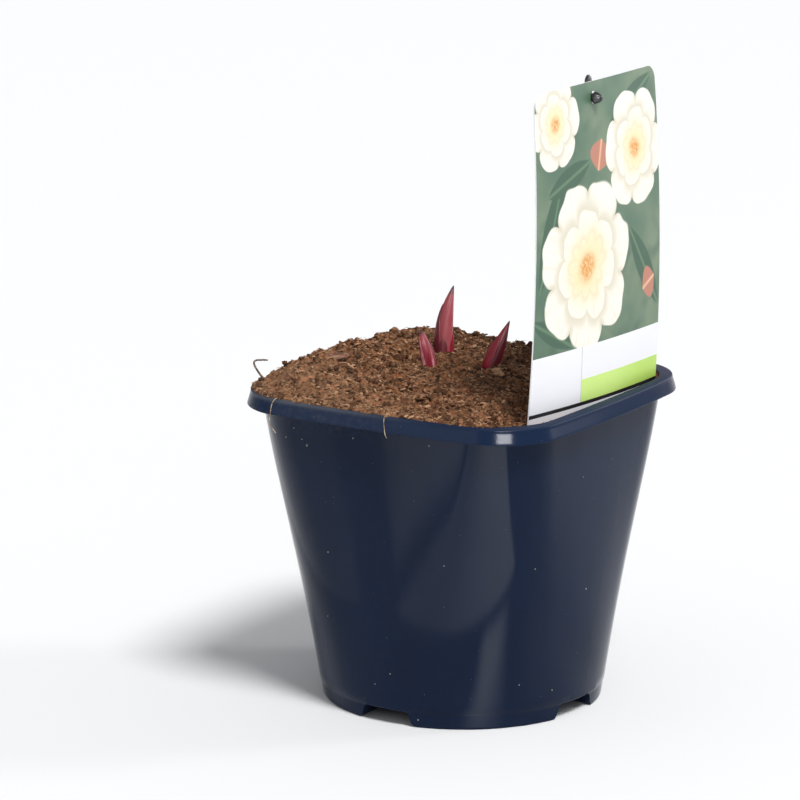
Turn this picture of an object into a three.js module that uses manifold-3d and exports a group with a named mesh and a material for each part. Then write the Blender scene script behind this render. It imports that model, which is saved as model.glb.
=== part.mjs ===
// A young herbaceous peony in a nursery pot, with its plant card. Millimetres, +Z up.
// The origin is the middle of the pot's foot, on the ground. The card stands at the +X wall.
import * as THREE from 'three';
import { mergeVertices } from 'three/addons/utils/BufferGeometryUtils.js';
import Module from 'manifold-3d';

const wasm = await Module();
wasm.setup();

// Pot: a square rim over a round foot
const potHeight = 138;
const rimHalf = 75;
const rimCorner = 28;
const rimBow = 750;
const rimDepth = 6.6;
const rimFlare = 1.6;
const rimEdge = 1.1;
const rimThick = 1.9;
const wall = 1.2;
const wallTopHalf = 70.8;
const wallTopCorner = 27.7;
const wallTopBow = 1250;
const footRadius = 61;
const cornerGrowth = 1.4;
const nearlyRound = 0.999;
const sidePoints = 5;
const cornerPoints = 8;

// Foot: four pads between a recess and four channels
const footHeight = 6.6;
const footStep = 0.3;
const footChamfer = 0.2;
const footSkin = 1.5;
const recessRadius = 43;
const recessSides = 48;
const channelBottomHalf = 13.1;
const channelTopHalf = 10.8;
const channelAngles = [-91.3, -5.7, 88.7, 174.3];
const middleHole = 7;
const channelHole = 4.5;
const channelHoleAt = 50;
const holeSides = 18;

// Soil
const gap = 0.3;
const soilPitch = 4.1;
const soilAtRim = -0.6;
const cornerLoss = 18;
const moundLow = 2.5;
const moundHeight = 8.5;
const moundReach = 17;
const moundRise = [-20, 58];
const rightLoss = 0.45;
const rightFall = [-5, 60];
const cardSide = [30, 66];
const cardSideDrop = 2.2;
const backBank = 4;
const backBankRise = [52, 68];
const rightBank = 2.4;
const rightBankRise = [45, 66];
const clodHeight = 2.8;
const clodSize = 7.5;
const fineClods = { height: 0.6, pitch: 2.3, shift: 9 };
const clodsAtWall = 0.45;

// Plant card: a sheet that is bowed outwards and stands a little askew
const cardWidth = 104.7;
const cardHeight = 148;
const cardThick = 0.6;
const cardCorner = 6;
const cardTop = 273.2;
const cardX = 63.2;
const cardY = 1.1;
const cardLean = -0.011;
const cardTilt = 0.8;
const cardBelly = 2.9;
const cardBow = [0.7, 1.7];
const cardTwist = [-0.021, 0.024];
const cardColumns = 10;
const cardRows = 9;
const cardHole = 2.9;
const cardHoleAt = new THREE.Vector2(-2.3, 266.4);

// Stake behind the card, with the barbed peg that goes through the card's hole
const stakeBottom = 92;
const stakeLength = 183.6;
const stakeY = -1.9;
const stakeTopX = 61.2;
const stakeBottomX = 61.6;
const stakeDepth = 2.2;
const stakeWidth = 3.4;
const stakeBevel = 1 / 3;
const pegRadius = 1.7;

// How far up the stake each of its sections lies, and the share of its full size there
const stakeSections = [[0, 0.25], [14, 1], [180.6, 1], [182.8, 0.75], [stakeLength, 0.4]];

// How far past the card's face each section of the barb lies, and its radius
const barbSections = [[0.1, 2.6], [1.4, 2.5], [3.6, 1.55], [5, 0.65]];

// Shoots: each leans in the plane that faces the photograph's viewer
const viewAzimuth = THREE.MathUtils.degToRad(32.05);
const leanWay = new THREE.Vector3(Math.cos(viewAzimuth), Math.sin(viewAzimuth), 0);
const soilLevel = potHeight + 2;
const budBottom = soilLevel - 6;
const budTip = 0.15;
const budLevels = 8;
const budSides = 14;
const stemRadius = 3;
const crownTop = 117;
const scaleThick = 0.8;
const scaleSunk = 0.25;
const scaleStart = -0.1;
const scaleTipShare = 0.07;
const scaleColumns = 5;
const scaleRows = 6;

// Crown and its storage roots, in the soil
const crownMiddle = new THREE.Vector3(-13, 13, 105);
const crownSize = new THREE.Vector3(22, 18, 11);
const seatFlare = 1.5;
const rootSides = 8;
const rootSteps = [0, 0.15, 0.35, 0.6, 0.85, 1];
const rootSpread = 0.7;
const rootFall = 1.25;
const rootSwell = { start: 0.45, rise: 0.75, shift: 0.2 };
const rootThinning = 0.45;

// Thin dry root at the left corner
const hookRadius = 0.5;
const hookSides = 6;

// Sections and lofts

// Joins closed rings of points into one body. Its ends are closed by a fan round the ring's
// middle, or where the ring is a thin bowed sheet by a strip between the sheet's two faces.
function loft(rings, thin = false) {
  const count = rings[0].length;
  const positions = rings.flatMap((ring) => ring.flatMap((point) => point.toArray()));
  const indices = [];
  for (let level = 0; level < rings.length - 1; level += 1) {
    for (let i = 0; i < count; i += 1) {
      const a = level * count + i;
      const b = level * count + (i + 1) % count;
      indices.push(a, b, b + count, a, b + count, a + count);
    }
  }
  const close = (start, upward) => {
    const face = (a, b, c) => (upward ? indices.push(a, b, c) : indices.push(a, c, b));
    if (thin) {
      for (let i = 0; i < count / 2 - 1; i += 1) {
        const a = start + i;
        const d = start + count - 1 - i;
        face(a, a + 1, d - 1);
        face(a, d - 1, d);
      }
      return;
    }
    const middle = positions.length / 3;
    const sum = new THREE.Vector3();
    for (let i = 0; i < count; i += 1) {
      sum.add(new THREE.Vector3().fromArray(positions, 3 * (start + i)));
      face(middle, start + i, start + (i + 1) % count);
    }
    positions.push(...sum.divideScalar(count).toArray());
  };
  close(0, false);
  close((rings.length - 1) * count, true);
  const geometry = new THREE.BufferGeometry();
  geometry.setAttribute('position', new THREE.Float32BufferAttribute(positions, 3));
  geometry.setIndex(indices);
  return geometry;
}

// A square section of four shallow side arcs and four corner arcs, each tangent to the next
function squareRing(half, corner, bow, z) {
  const cornerRadius = Math.min(corner, half * nearlyRound);
  const sideRadius = Math.max(bow, half / nearlyRound);
  const offset = sideRadius - half;
  const reach = sideRadius - cornerRadius;
  const centre = (-offset + Math.sqrt(2 * reach ** 2 - offset ** 2)) / 2;
  const turn = Math.asin(centre / reach);
  const quarter = [];
  for (let i = 0; i < sidePoints; i += 1) {
    const angle = THREE.MathUtils.lerp(-turn, turn, i / (sidePoints - 1));
    quarter.push([sideRadius * Math.cos(angle) - offset, sideRadius * Math.sin(angle)]);
  }
  for (let i = 1; i < cornerPoints; i += 1) {
    const angle = THREE.MathUtils.lerp(turn, Math.PI / 2 - turn, i / cornerPoints);
    quarter.push([centre + cornerRadius * Math.cos(angle), centre + cornerRadius * Math.sin(angle)]);
  }
  const up = new THREE.Vector3(0, 0, 1);
  return [0, 1, 2, 3].flatMap((side) => quarter.map(([x, y]) => (
    new THREE.Vector3(x, y, z).applyAxisAngle(up, side * Math.PI / 2))));
}

// The pot's wall at height z, moved inwards by inset: square at the top, a circle at the foot
function wallRing(z, inset) {
  const down = THREE.MathUtils.clamp(1 - z / potHeight, 0, 1);
  const half = THREE.MathUtils.lerp(wallTopHalf, footRadius, down);
  const corner = THREE.MathUtils.lerp(wallTopCorner, footRadius, down ** cornerGrowth);
  const bow = 1 / THREE.MathUtils.lerp(1 / wallTopBow, 1 / footRadius, down ** 2);
  return squareRing(half - inset, corner - inset, bow - inset, z);
}

// The rim's outer edge at height z, moved outwards by outset
function rimRing(z, outset) {
  return squareRing(rimHalf + outset, rimCorner + outset, rimBow + outset, z);
}

// A round limb along a list of [point, radius], grown by grow on its sides and at its ends
function limb(stations, sides, grow = 0) {
  const last = stations.length - 1;
  const rings = stations.map(([point, radius], i) => {
    const before = stations[Math.max(i - 1, 0)][0];
    const after = stations[Math.min(i + 1, last)][0];
    const along = after.clone().sub(before).normalize();
    const across = new THREE.Vector3(0, 1, 0).addScaledVector(along, -along.y).normalize();
    const beside = along.clone().cross(across);
    const end = grow * (i === last) - grow * (i === 0);
    return Array.from({ length: sides }, (_, k) => {
      const angle = (2 * Math.PI * k) / sides;
      return point.clone()
        .addScaledVector(along, end)
        .addScaledVector(across, (radius + grow) * Math.cos(angle))
        .addScaledVector(beside, (radius + grow) * Math.sin(angle));
    });
  });
  return loft(rings);
}

// Solids

function toSolid(geometry) {
  const bare = geometry.clone();
  bare.deleteAttribute('normal');
  bare.deleteAttribute('uv');
  const merged = mergeVertices(bare, 1e-5);
  return new wasm.Manifold(new wasm.Mesh({
    numProp: 3,
    vertProperties: merged.attributes.position.array,
    triVerts: Uint32Array.from(merged.index.array),
  }));
}

function toGeometry(solid) {
  const mesh = solid.getMesh();
  const geometry = new THREE.BufferGeometry();
  geometry.setAttribute('position', new THREE.BufferAttribute(mesh.vertProperties, 3));
  geometry.setIndex(new THREE.BufferAttribute(mesh.triVerts, 1));
  return geometry;
}

const union = (geometries) => geometries.map(toSolid).reduce((all, next) => all.add(next));

// The largest outer skin of a solid, so that a small hollow sealed by a join is filled
const outerBody = (solid) => (
  solid.decompose().reduce((best, piece) => (piece.volume() > best.volume() ? piece : best)));

// Pot

// The space under the pot's floor, grown on all sides: a round recess and four channels
function underFloor(grow) {
  const top = footHeight + grow;
  const bottom = -footHeight;
  const radius = recessRadius + grow;
  const recess = new THREE.CylinderGeometry(radius, radius, top - bottom, recessSides)
    .rotateX(Math.PI / 2)
    .translate(0, 0, (top + bottom) / 2);
  const slope = (channelBottomHalf - channelTopHalf) / footHeight;
  const halfAt = (z) => channelTopHalf + grow + slope * (top - z);
  const channels = channelAngles.map((angle) => {
    const outline = new THREE.Shape([
      new THREE.Vector2(-halfAt(bottom), bottom),
      new THREE.Vector2(halfAt(bottom), bottom),
      new THREE.Vector2(halfAt(top), top),
      new THREE.Vector2(-halfAt(top), top),
    ]);
    return new THREE.ExtrudeGeometry(outline, { depth: rimHalf, bevelEnabled: false })
      .rotateX(Math.PI / 2)
      .rotateZ(THREE.MathUtils.degToRad(angle + 90));
  });
  return union([recess, ...channels]);
}

// The inside of the pot up to top, moved inwards by inset from the wall's inner face. Over the
// rim's edge it opens out by flare.
function potInside(inset, top, flare) {
  const rings = [];
  const bottom = footSkin + inset;
  const levels = 9;
  for (let i = 0; i <= levels; i += 1) {
    const z = THREE.MathUtils.lerp(bottom, potHeight - rimEdge, i / levels);
    rings.push(wallRing(z, wall + inset));
  }
  rings.push(wallRing(top, wall + inset - flare));
  return toSolid(loft(rings));
}

function makePot() {
  const underRim = potHeight - rimThick;
  const skirtBottom = potHeight - rimDepth;
  const rings = [
    wallRing(0, footStep + footChamfer),
    wallRing(footChamfer, footStep),
    wallRing(footHeight, footStep),
    wallRing(footHeight + footStep, 0),
  ];
  const levels = 8;
  for (let i = 1; i <= levels; i += 1) {
    rings.push(wallRing(THREE.MathUtils.lerp(footHeight + footStep, underRim, i / levels), 0));
  }
  rings.push(
    rimRing(underRim, -wall),
    rimRing(skirtBottom, rimFlare - wall),
    rimRing(skirtBottom, rimFlare - footStep),
    rimRing(skirtBottom + footStep, rimFlare),
    rimRing(potHeight - rimEdge, 0),
    rimRing(potHeight - rimEdge / 3, -rimEdge / 3),
    rimRing(potHeight, -rimEdge),
  );
  const drill = (radius) => (
    new THREE.CylinderGeometry(radius, radius, 4 * footHeight, holeSides).rotateX(Math.PI / 2));
  const holes = channelAngles.map((angle) => (
    drill(channelHole).translate(channelHoleAt, 0, 0).rotateZ(THREE.MathUtils.degToRad(angle))));
  holes.push(drill(middleHole));
  const cavity = potInside(0, potHeight + rimEdge, rimEdge).subtract(underFloor(footSkin));
  return toSolid(loft(rings)).subtract(underFloor(0)).subtract(cavity).subtract(union(holes));
}

// Plant card

// A point of the card's middle surface: across runs from -0.5 to 0.5, down from 0 to 1
function cardPoint(across, down) {
  const sag = down * cardHeight;
  const bow = THREE.MathUtils.lerp(...cardBow, down) * (1 - (2 * across) ** 2);
  const belly = cardBelly * (1 - (2 * down - 1) ** 2);
  const twist = THREE.MathUtils.lerp(...cardTwist, down) * across * cardWidth;
  return new THREE.Vector3(
    cardX + bow + belly + twist + cardTilt * (down - 1),
    cardY + across * cardWidth + cardLean * (sag - cardHeight / 2),
    cardTop - sag + cardLean * across * cardWidth,
  );
}

// The bowed sheet, grown by grow on every side, before its outline is cut
function cardSheet(grow) {
  const half = cardThick / 2 + grow;
  const margin = grow / cardHeight;
  const rings = [];
  for (let row = cardRows; row >= 0; row -= 1) {
    const down = THREE.MathUtils.lerp(-margin, 1 + margin, row / cardRows);
    const face = Array.from({ length: cardColumns + 1 }, (_, i) => (
      cardPoint(THREE.MathUtils.lerp(-0.5 - margin, 0.5 + margin, i / cardColumns), down)));
    const front = face.map((point) => point.clone().setX(point.x + half));
    const back = face.map((point) => point.clone().setX(point.x - half)).reverse();
    rings.push([...front, ...back]);
  }
  return toSolid(loft(rings, true));
}

// The sheet with its round corners and its hole. Both cuts run well past its faces.
function makeCard() {
  const half = cardWidth / 2;
  const past = 4 * cardCorner;
  const outline = new THREE.Shape();
  const corners = [[-1, -1], [1, -1], [1, 1], [-1, 1]];
  corners.forEach(([side, end], i) => {
    const x = side * (half - cardCorner);
    const y = (cardHeight / 2 - cardCorner) * end - cardHeight / 2;
    const start = Math.PI * (1 + i / 2);
    outline.absarc(x, y, cardCorner, start, start + Math.PI / 2);
  });
  const across = { depth: 2 * past, curveSegments: 6, bevelEnabled: false };
  const cutter = new THREE.ExtrudeGeometry(outline, across)
    .rotateX(Math.PI / 2)
    .rotateZ(Math.PI / 2)
    .rotateX(cardLean)
    .translate(cardX - past, cardY - cardLean * (cardHeight / 2), cardTop);
  const hole = new THREE.CylinderGeometry(cardHole, cardHole, 2 * past, holeSides)
    .rotateZ(Math.PI / 2)
    .translate(cardX, cardHoleAt.x, cardHoleAt.y);
  return cardSheet(0).intersect(toSolid(cutter)).subtract(toSolid(hole));
}

// Stake

// The stake's section at the given rise, with its corners cut off
function stakeRing(rise, share, grow, end) {
  const x = THREE.MathUtils.mapLinear(rise, 0, stakeLength, stakeBottomX, stakeTopX);
  const halfX = (stakeDepth / 2) * share + grow;
  const halfY = (stakeWidth / 2) * share + grow;
  const cut = Math.min(halfX, halfY) * stakeBevel;
  const half = [[halfX, cut - halfY], [halfX, halfY - cut], [halfX - cut, halfY], [cut - halfX, halfY]];
  return [...half, ...half.map(([a, b]) => [-a, -b])]
    .map(([a, b]) => new THREE.Vector3(x + a, stakeY + b, stakeBottom + rise + end));
}

function stakeRod(grow) {
  const last = stakeSections.length - 1;
  return loft(stakeSections.map(([rise, share], i) => (
    stakeRing(rise, share, grow, grow * (i === last) - grow * (i === 0)))));
}

function makeStake() {
  const front = cardPoint(0, (cardTop - cardHoleAt.y) / cardHeight).x + cardThick / 2 + gap;
  const peg = [
    [stakeTopX, pegRadius],
    [front, pegRadius],
    ...barbSections.map(([out, radius]) => [front + out, radius]),
  ].map(([x, radius]) => [new THREE.Vector3(x, cardHoleAt.x, cardHoleAt.y), radius]);
  return union([stakeRod(0), limb(peg, budSides)]);
}

// Shoots

const shoots = [
  {
    name: 'shoot_tall',
    base: new THREE.Vector2(-22, 20.6),
    height: 32.5,
    radius: 4.6,
    lean: 4.7,
    leanPower: 2.5,
    taper: 2.8,
    scales: [
      { turn: -62, wrap: 52, rise: 0.36, lift: 0.5, tip: 2.2 },
      { turn: -118, wrap: 58, rise: 0.68, lift: 0.3, tip: 1.6 },
      { turn: 36, wrap: 62, rise: 0.5, lift: 0.15, tip: 1.8 },
      { turn: 112, wrap: 74, rise: 0.8, lift: 0.35, tip: 1.5 },
    ],
  },
  {
    name: 'shoot_left',
    base: new THREE.Vector2(-18.2, 2.4),
    height: 17.5,
    radius: 3.1,
    lean: -3,
    leanPower: 1.3,
    taper: 3,
    scales: [
      { turn: -20, wrap: 56, rise: 0.5, lift: 0.75, tip: 2 },
      { turn: -88, wrap: 50, rise: 0.74, lift: 0.5, tip: 1.8 },
      { turn: 175, wrap: 66, rise: 0.62, lift: 0.45, tip: 1.7 },
      { turn: 70, wrap: 60, rise: 0.82, lift: 0.4, tip: 1.6 },
    ],
  },
  {
    name: 'shoot_right',
    base: new THREE.Vector2(2.1, 18.9),
    height: 20.5,
    radius: 3.9,
    lean: 8.6,
    leanPower: 1.15,
    taper: 1.9,
    scales: [
      { turn: -78, wrap: 56, rise: 0.62, lift: 0.45, tip: 1.7 },
      { turn: -170, wrap: 60, rise: 0.5, lift: 0.6, tip: 1.9 },
      { turn: 8, wrap: 56, rise: 0.44, lift: 0.6, tip: 2 },
      { turn: 98, wrap: 66, rise: 0.74, lift: 0.35, tip: 1.6 },
    ],
  },
];

// The middle of a bud at height t, from 0 at the soil to 1 at the tip
function budMiddle(shoot, t) {
  return new THREE.Vector3(shoot.base.x, shoot.base.y, soilLevel + shoot.height * t)
    .addScaledVector(leanWay, shoot.lean * Math.max(t, 0) ** shoot.leanPower);
}

function budRadius(shoot, t) {
  return budTip + shoot.radius * (1 - Math.max(t, 0) ** shoot.taper);
}

// The stem in the soil and the bud on it, whose sections lie closer together towards its tip
function bud(shoot) {
  const { x, y } = shoot.base;
  const stations = [
    [new THREE.Vector3(x, y, crownTop + gap), stemRadius],
    [new THREE.Vector3(x, y, budBottom), stemRadius],
  ];
  for (let i = 0; i <= budLevels; i += 1) {
    const t = (i / budLevels) ** 0.8;
    stations.push([budMiddle(shoot, t), budRadius(shoot, t)]);
  }
  return limb(stations, budSides);
}

// One scale: a thin blade that wraps part of the bud and stands off it towards its tip
function budScale(shoot, { turn, wrap, rise, lift, tip }) {
  const rings = [];
  for (let row = 0; row <= scaleRows; row += 1) {
    const share = row / scaleRows;
    const t = THREE.MathUtils.lerp(scaleStart, rise, share);
    const middle = budMiddle(shoot, t);
    const inner = budRadius(shoot, t) - scaleSunk + (lift + scaleSunk) * share ** 2;
    const halfAngle = wrap * (1 - (1 - scaleTipShare) * share ** tip);
    const edge = (radius) => Array.from({ length: scaleColumns + 1 }, (_, i) => {
      const degrees = turn + THREE.MathUtils.lerp(-halfAngle, halfAngle, i / scaleColumns);
      const angle = THREE.MathUtils.degToRad(degrees);
      return new THREE.Vector3(Math.cos(angle), Math.sin(angle), 0).multiplyScalar(radius).add(middle);
    });
    rings.push([...edge(inner + scaleThick), ...edge(inner).reverse()]);
  }
  return loft(rings, true);
}

function makeShoot(shoot) {
  return outerBody(union([bud(shoot), ...shoot.scales.map((scale) => budScale(shoot, scale))]));
}

// The hole that the soil leaves round a shoot: narrow round its stem, wide round its bud
function shootHole(shoot) {
  const { x, y } = shoot.base;
  const budHole = shoot.radius + 2 * scaleThick;
  return limb([
    [new THREE.Vector3(x, y, crownTop - 1), stemRadius + gap],
    [new THREE.Vector3(x, y, budBottom - 0.5), stemRadius + gap],
    [new THREE.Vector3(x, y, budBottom + 2), budHole],
    [new THREE.Vector3(x, y, potHeight + 2 * moundHeight), budHole],
  ], budSides + 2);
}

// Crown

const roots = [
  { turn: 200, reach: 30, drop: 52, girth: 5.5 },
  { turn: 255, reach: 26, drop: 68, girth: 6.5 },
  { turn: 320, reach: 34, drop: 58, girth: 6 },
  { turn: 35, reach: 28, drop: 64, girth: 5 },
  { turn: 118, reach: 22, drop: 60, girth: 5.8 },
];

// A storage root leaves the crown sideways, swells, then runs down and thins out
function storageRoot({ turn, reach, drop, girth }, grow) {
  const angle = THREE.MathUtils.degToRad(turn);
  const stations = rootSteps.map((t) => {
    const out = reach * t ** rootSpread;
    const point = new THREE.Vector3(Math.cos(angle) * out, Math.sin(angle) * out, -drop * t ** rootFall);
    const swell = rootSwell.start + rootSwell.rise * Math.sin(Math.PI * Math.min(t + rootSwell.shift, 1));
    return [point.add(crownMiddle), girth * swell * (1 - rootThinning * t)];
  });
  return limb(stations, rootSides, grow);
}

// The crown with a raised seat under each shoot and its storage roots, grown by grow
function crownBody(grow) {
  const knob = new THREE.SphereGeometry(1, 16, 10)
    .scale(crownSize.x + grow, crownSize.y + grow, crownSize.z + grow)
    .translate(crownMiddle.x, crownMiddle.y, crownMiddle.z);
  const seats = shoots.map(({ base: { x, y } }) => (
    limb([
      [new THREE.Vector3(x, y, crownMiddle.z), stemRadius + 0.5 + seatFlare],
      [new THREE.Vector3(x, y, crownTop), stemRadius + 0.5],
    ], budSides + 2, grow)));
  return union([knob, ...seats, ...roots.map((root) => storageRoot(root, grow))]);
}

// Dry root

const hookPath = [
  [-62, -50.5, 132], [-64, -51.7, 136.3], [-66.4, -52.8, 139.4],
  [-68.9, -54.2, 143], [-70.4, -55.2, 146], [-70.8, -55.4, 147.8],
  [-70, -54.9, 148.7], [-68, -53.6, 148.9], [-65.8, -52.2, 148.8],
].map((place) => new THREE.Vector3(...place));

const dryRoot = (grow) => limb(hookPath.map((point) => [point, hookRadius]), hookSides, grow);

// Soil

const hashSteps = new THREE.Vector2(127.1, 311.7);
const hashSize = 43758.5453;

// Repeatable noise from 0 to 1 that runs smoothly between the points of a square lattice
function noise(x, y) {
  const hash = (column, line) => {
    const value = Math.sin(hashSteps.x * column + hashSteps.y * line) * hashSize;
    return value - Math.floor(value);
  };
  const i = Math.floor(x);
  const j = Math.floor(y);
  const u = THREE.MathUtils.smoothstep(x - i, 0, 1);
  const v = THREE.MathUtils.smoothstep(y - j, 0, 1);
  return THREE.MathUtils.lerp(
    THREE.MathUtils.lerp(hash(i, j), hash(i + 1, j), u),
    THREE.MathUtils.lerp(hash(i, j + 1), hash(i + 1, j + 1), u),
    v,
  );
}

// The soil's height: a mound that is highest along the -X wall, falls off towards +Y and is low
// by the card, with a bank of soil against two of the walls, all broken up into clods
function soilHeight(x, y) {
  const { smoothstep } = THREE.MathUtils;
  const away = Math.min(
    wallTopHalf - Math.max(Math.abs(x), Math.abs(y)),
    (2 * wallTopHalf - cornerLoss - Math.abs(x) - Math.abs(y)) / Math.SQRT2,
  );
  const inside = smoothstep(away, 0, moundReach);
  const back = smoothstep(-x, ...moundRise);
  const right = 1 - rightLoss * smoothstep(y, ...rightFall);
  const byCard = smoothstep(x, ...cardSide);
  const mound = (moundLow + moundHeight * back * right) * inside * (1 - byCard) - cardSideDrop * byCard;
  const banks = backBank * smoothstep(-x, ...backBankRise) * right
    + rightBank * smoothstep(y, ...rightBankRise) * (1 - byCard);
  const u = x / clodSize;
  const v = y / clodSize;
  const { height, pitch, shift } = fineClods;
  const clods = noise(u, v) - 0.5 + height * (noise(pitch * u + shift, pitch * v) - 0.5);
  const roughness = THREE.MathUtils.lerp(clodsAtWall, 1, inside);
  return potHeight + soilAtRim + mound + banks + clodHeight * clods * roughness;
}

// A block whose top is the relief of the soil
function soilBlock() {
  const cells = Math.ceil((2 * rimHalf) / soilPitch);
  const size = cells * soilPitch;
  const top = new THREE.PlaneGeometry(size, size, cells, cells);
  const place = top.attributes.position;
  for (let i = 0; i < place.count; i += 1) {
    place.setZ(i, soilHeight(place.getX(i), place.getY(i)));
  }
  const row = cells + 1;
  const edge = [];
  for (let i = 0; i < cells; i += 1) edge.push(cells * row + i);
  for (let i = 0; i < cells; i += 1) edge.push((cells - i) * row + cells);
  for (let i = 0; i < cells; i += 1) edge.push(cells - i);
  for (let i = 0; i < cells; i += 1) edge.push(i * row);
  const positions = Array.from(place.array);
  const indices = Array.from(top.index.array);
  const first = place.count;
  edge.forEach((corner, i) => {
    positions.push(place.getX(corner), place.getY(corner), 0);
    const next = (i + 1) % edge.length;
    indices.push(corner, first + i, first + next, corner, first + next, edge[next]);
    indices.push(first + edge.length, first + next, first + i);
  });
  positions.push(0, 0, 0);
  const block = new THREE.BufferGeometry();
  block.setAttribute('position', new THREE.Float32BufferAttribute(positions, 3));
  block.setIndex(indices);
  return toSolid(block);
}

function makeSoil() {
  const stakeHole = toSolid(stakeRod(gap));
  return soilBlock()
    .intersect(potInside(gap, potHeight + 2 * moundHeight, 0))
    .subtract(underFloor(footSkin + gap))
    .subtract(crownBody(gap))
    .subtract(union(shoots.map(shootHole)))
    .subtract(cardSheet(gap))
    .subtract(stakeHole)
    .subtract(toSolid(dryRoot(gap)));
}

// The whole plant in its pot

const navyPlastic = new THREE.MeshStandardMaterial({ color: 0x232d45, roughness: 0.38 });
const pottingSoil = new THREE.MeshStandardMaterial({ color: 0x6b4a33, roughness: 1 });
const budSkin = new THREE.MeshStandardMaterial({ color: 0x8f2f3c, roughness: 0.42 });
const rootSkin = new THREE.MeshStandardMaterial({ color: 0x9b6f4a, roughness: 0.85 });
const cardPrint = new THREE.MeshStandardMaterial({ color: 0xdfe8dc, roughness: 0.35 });
const blackPlastic = new THREE.MeshStandardMaterial({ color: 0x15171a, roughness: 0.45 });
const dryBark = new THREE.MeshStandardMaterial({ color: 0x8a8478, roughness: 0.9 });

const pottedPeony = new THREE.Group();

function add(name, geometry, material) {
  const mesh = new THREE.Mesh(geometry, material);
  mesh.name = name;
  pottedPeony.add(mesh);
}

add('pot', toGeometry(makePot()), navyPlastic);
add('soil', toGeometry(makeSoil()), pottingSoil);
add('peony_crown', toGeometry(crownBody(0)), rootSkin);
for (const shoot of shoots) {
  add(shoot.name, toGeometry(makeShoot(shoot)), budSkin);
}
add('hooked_root', dryRoot(0), dryBark);
add('label', toGeometry(makeCard()), cardPrint);
add('label_stake', toGeometry(makeStake()), blackPlastic);

export default pottedPeony;
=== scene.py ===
import math
import random

import bmesh
import bpy
from mathutils import Euler, Matrix, Vector, noise


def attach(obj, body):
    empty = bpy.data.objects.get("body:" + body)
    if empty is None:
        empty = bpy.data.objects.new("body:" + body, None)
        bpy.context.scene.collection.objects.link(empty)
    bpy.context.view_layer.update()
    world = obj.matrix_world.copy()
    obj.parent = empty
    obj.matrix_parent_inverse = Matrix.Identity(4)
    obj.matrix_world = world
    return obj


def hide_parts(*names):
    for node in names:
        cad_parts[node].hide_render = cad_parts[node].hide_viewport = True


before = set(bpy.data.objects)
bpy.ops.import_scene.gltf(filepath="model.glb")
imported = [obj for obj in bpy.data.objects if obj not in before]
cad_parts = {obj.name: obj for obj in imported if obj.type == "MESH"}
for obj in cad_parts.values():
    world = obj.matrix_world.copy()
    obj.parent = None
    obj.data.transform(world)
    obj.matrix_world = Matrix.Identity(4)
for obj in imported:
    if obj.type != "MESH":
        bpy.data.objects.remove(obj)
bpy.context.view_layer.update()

# The pot
# A nursery pot in navy polypropylene, injection moulded in one piece. Its wall turns from a rounded
# square under the rim into a circle at the foot. The rim folds down into a skirt, and four channels
# under the floor cut the foot ring into pads, so that water can drain.

mm = 0.001
hair = 0.01 * mm
pot_height = 138 * mm
rim_half, rim_corner, rim_bow = 75 * mm, 28 * mm, 750 * mm
rim_depth, rim_flare, rim_edge, rim_thick = 6.6 * mm, 1.6 * mm, 1.1 * mm, 1.9 * mm
wall, lip = 1.2 * mm, 0.5 * mm
wall_half, wall_corner, wall_bow = 70.8 * mm, 27.7 * mm, 1250 * mm
foot_radius, foot_height, foot_step, foot_skin = 61 * mm, 6.6 * mm, 0.3 * mm, 1.5 * mm
sole_width, sole_edge, sole_edge_height, hollow_edge = 12 * mm, 1.1 * mm, 0.8 * mm, 1 * mm
recess_radius = 43 * mm
channel_top, channel_bottom = 10.8 * mm, 13.1 * mm
channel_turns = (-91.3, -5.7, 88.7, 174.3)
channel_rounding = 1.7 * mm
middle_hole, channel_hole, channel_hole_at = 7 * mm, 4.5 * mm, 50 * mm
corner_pace, bow_pace = 1.4, 2
side_share, nearly_round = 0.6, 0.999
pot_columns, wall_rows, hollow_rows = 200, 34, 20


def lerp(start, end, share):
    return start + (end - start) * share


def on_section(half, corner, bow, turn):
    """A point of a square section with bowed sides and round corners, as turn runs from 0 to 1. At
    its roundest it is nearly a circle."""
    corner, bow = min(corner, nearly_round * half), max(bow, half / nearly_round)
    offset, reach = bow - half, bow - corner
    centre = (math.sqrt(2 * reach ** 2 - offset ** 2) - offset) / 2
    lean = math.asin(centre / reach)
    quarter, share = divmod(4 * turn, 1)
    if share < side_share:
        angle = lerp(-lean, lean, share / side_share)
        point = Vector((bow * math.cos(angle) - offset, bow * math.sin(angle)))
    else:
        angle = lerp(lean, math.pi / 2 - lean, (share - side_share) / (1 - side_share))
        point = Vector((centre + corner * math.cos(angle), centre + corner * math.sin(angle)))
    return Matrix.Rotation(quarter * math.pi / 2, 2) @ point


def at_wall(z, inset, turn):
    """A point of the wall's section at height z. It gets round and narrow towards the foot."""
    down = min(max(1 - z / pot_height, 0), 1)
    half = lerp(wall_half, foot_radius, down)
    corner = lerp(wall_corner, foot_radius, down ** corner_pace)
    bow = 1 / lerp(1 / wall_bow, 1 / foot_radius, down ** bow_pace)
    return on_section(half - inset, corner - inset, bow - inset, turn)


def at_rim(z, inset, turn):
    return on_section(rim_half - inset, rim_corner - inset, rim_bow - inset, turn)


def at_middle(z, inset, turn):
    return Vector((0, 0))


def rounding(curve, start, corner, end, steps=5):
    """Levels round a moulded edge, each (curve, height, inset), from start to end past a corner."""
    shares = [step / steps for step in range(steps + 1)]
    start, corner, end = Vector(start), Vector(corner), Vector(end)
    return [(curve, *start.lerp(corner, t).lerp(corner.lerp(end, t), t)) for t in shares]


def straight(curve, start, end, steps):
    """Levels on a straight stretch, without its two ends."""
    shares = [step / steps for step in range(1, steps)]
    return [(curve, *Vector(start).lerp(Vector(end), t)) for t in shares]


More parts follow.
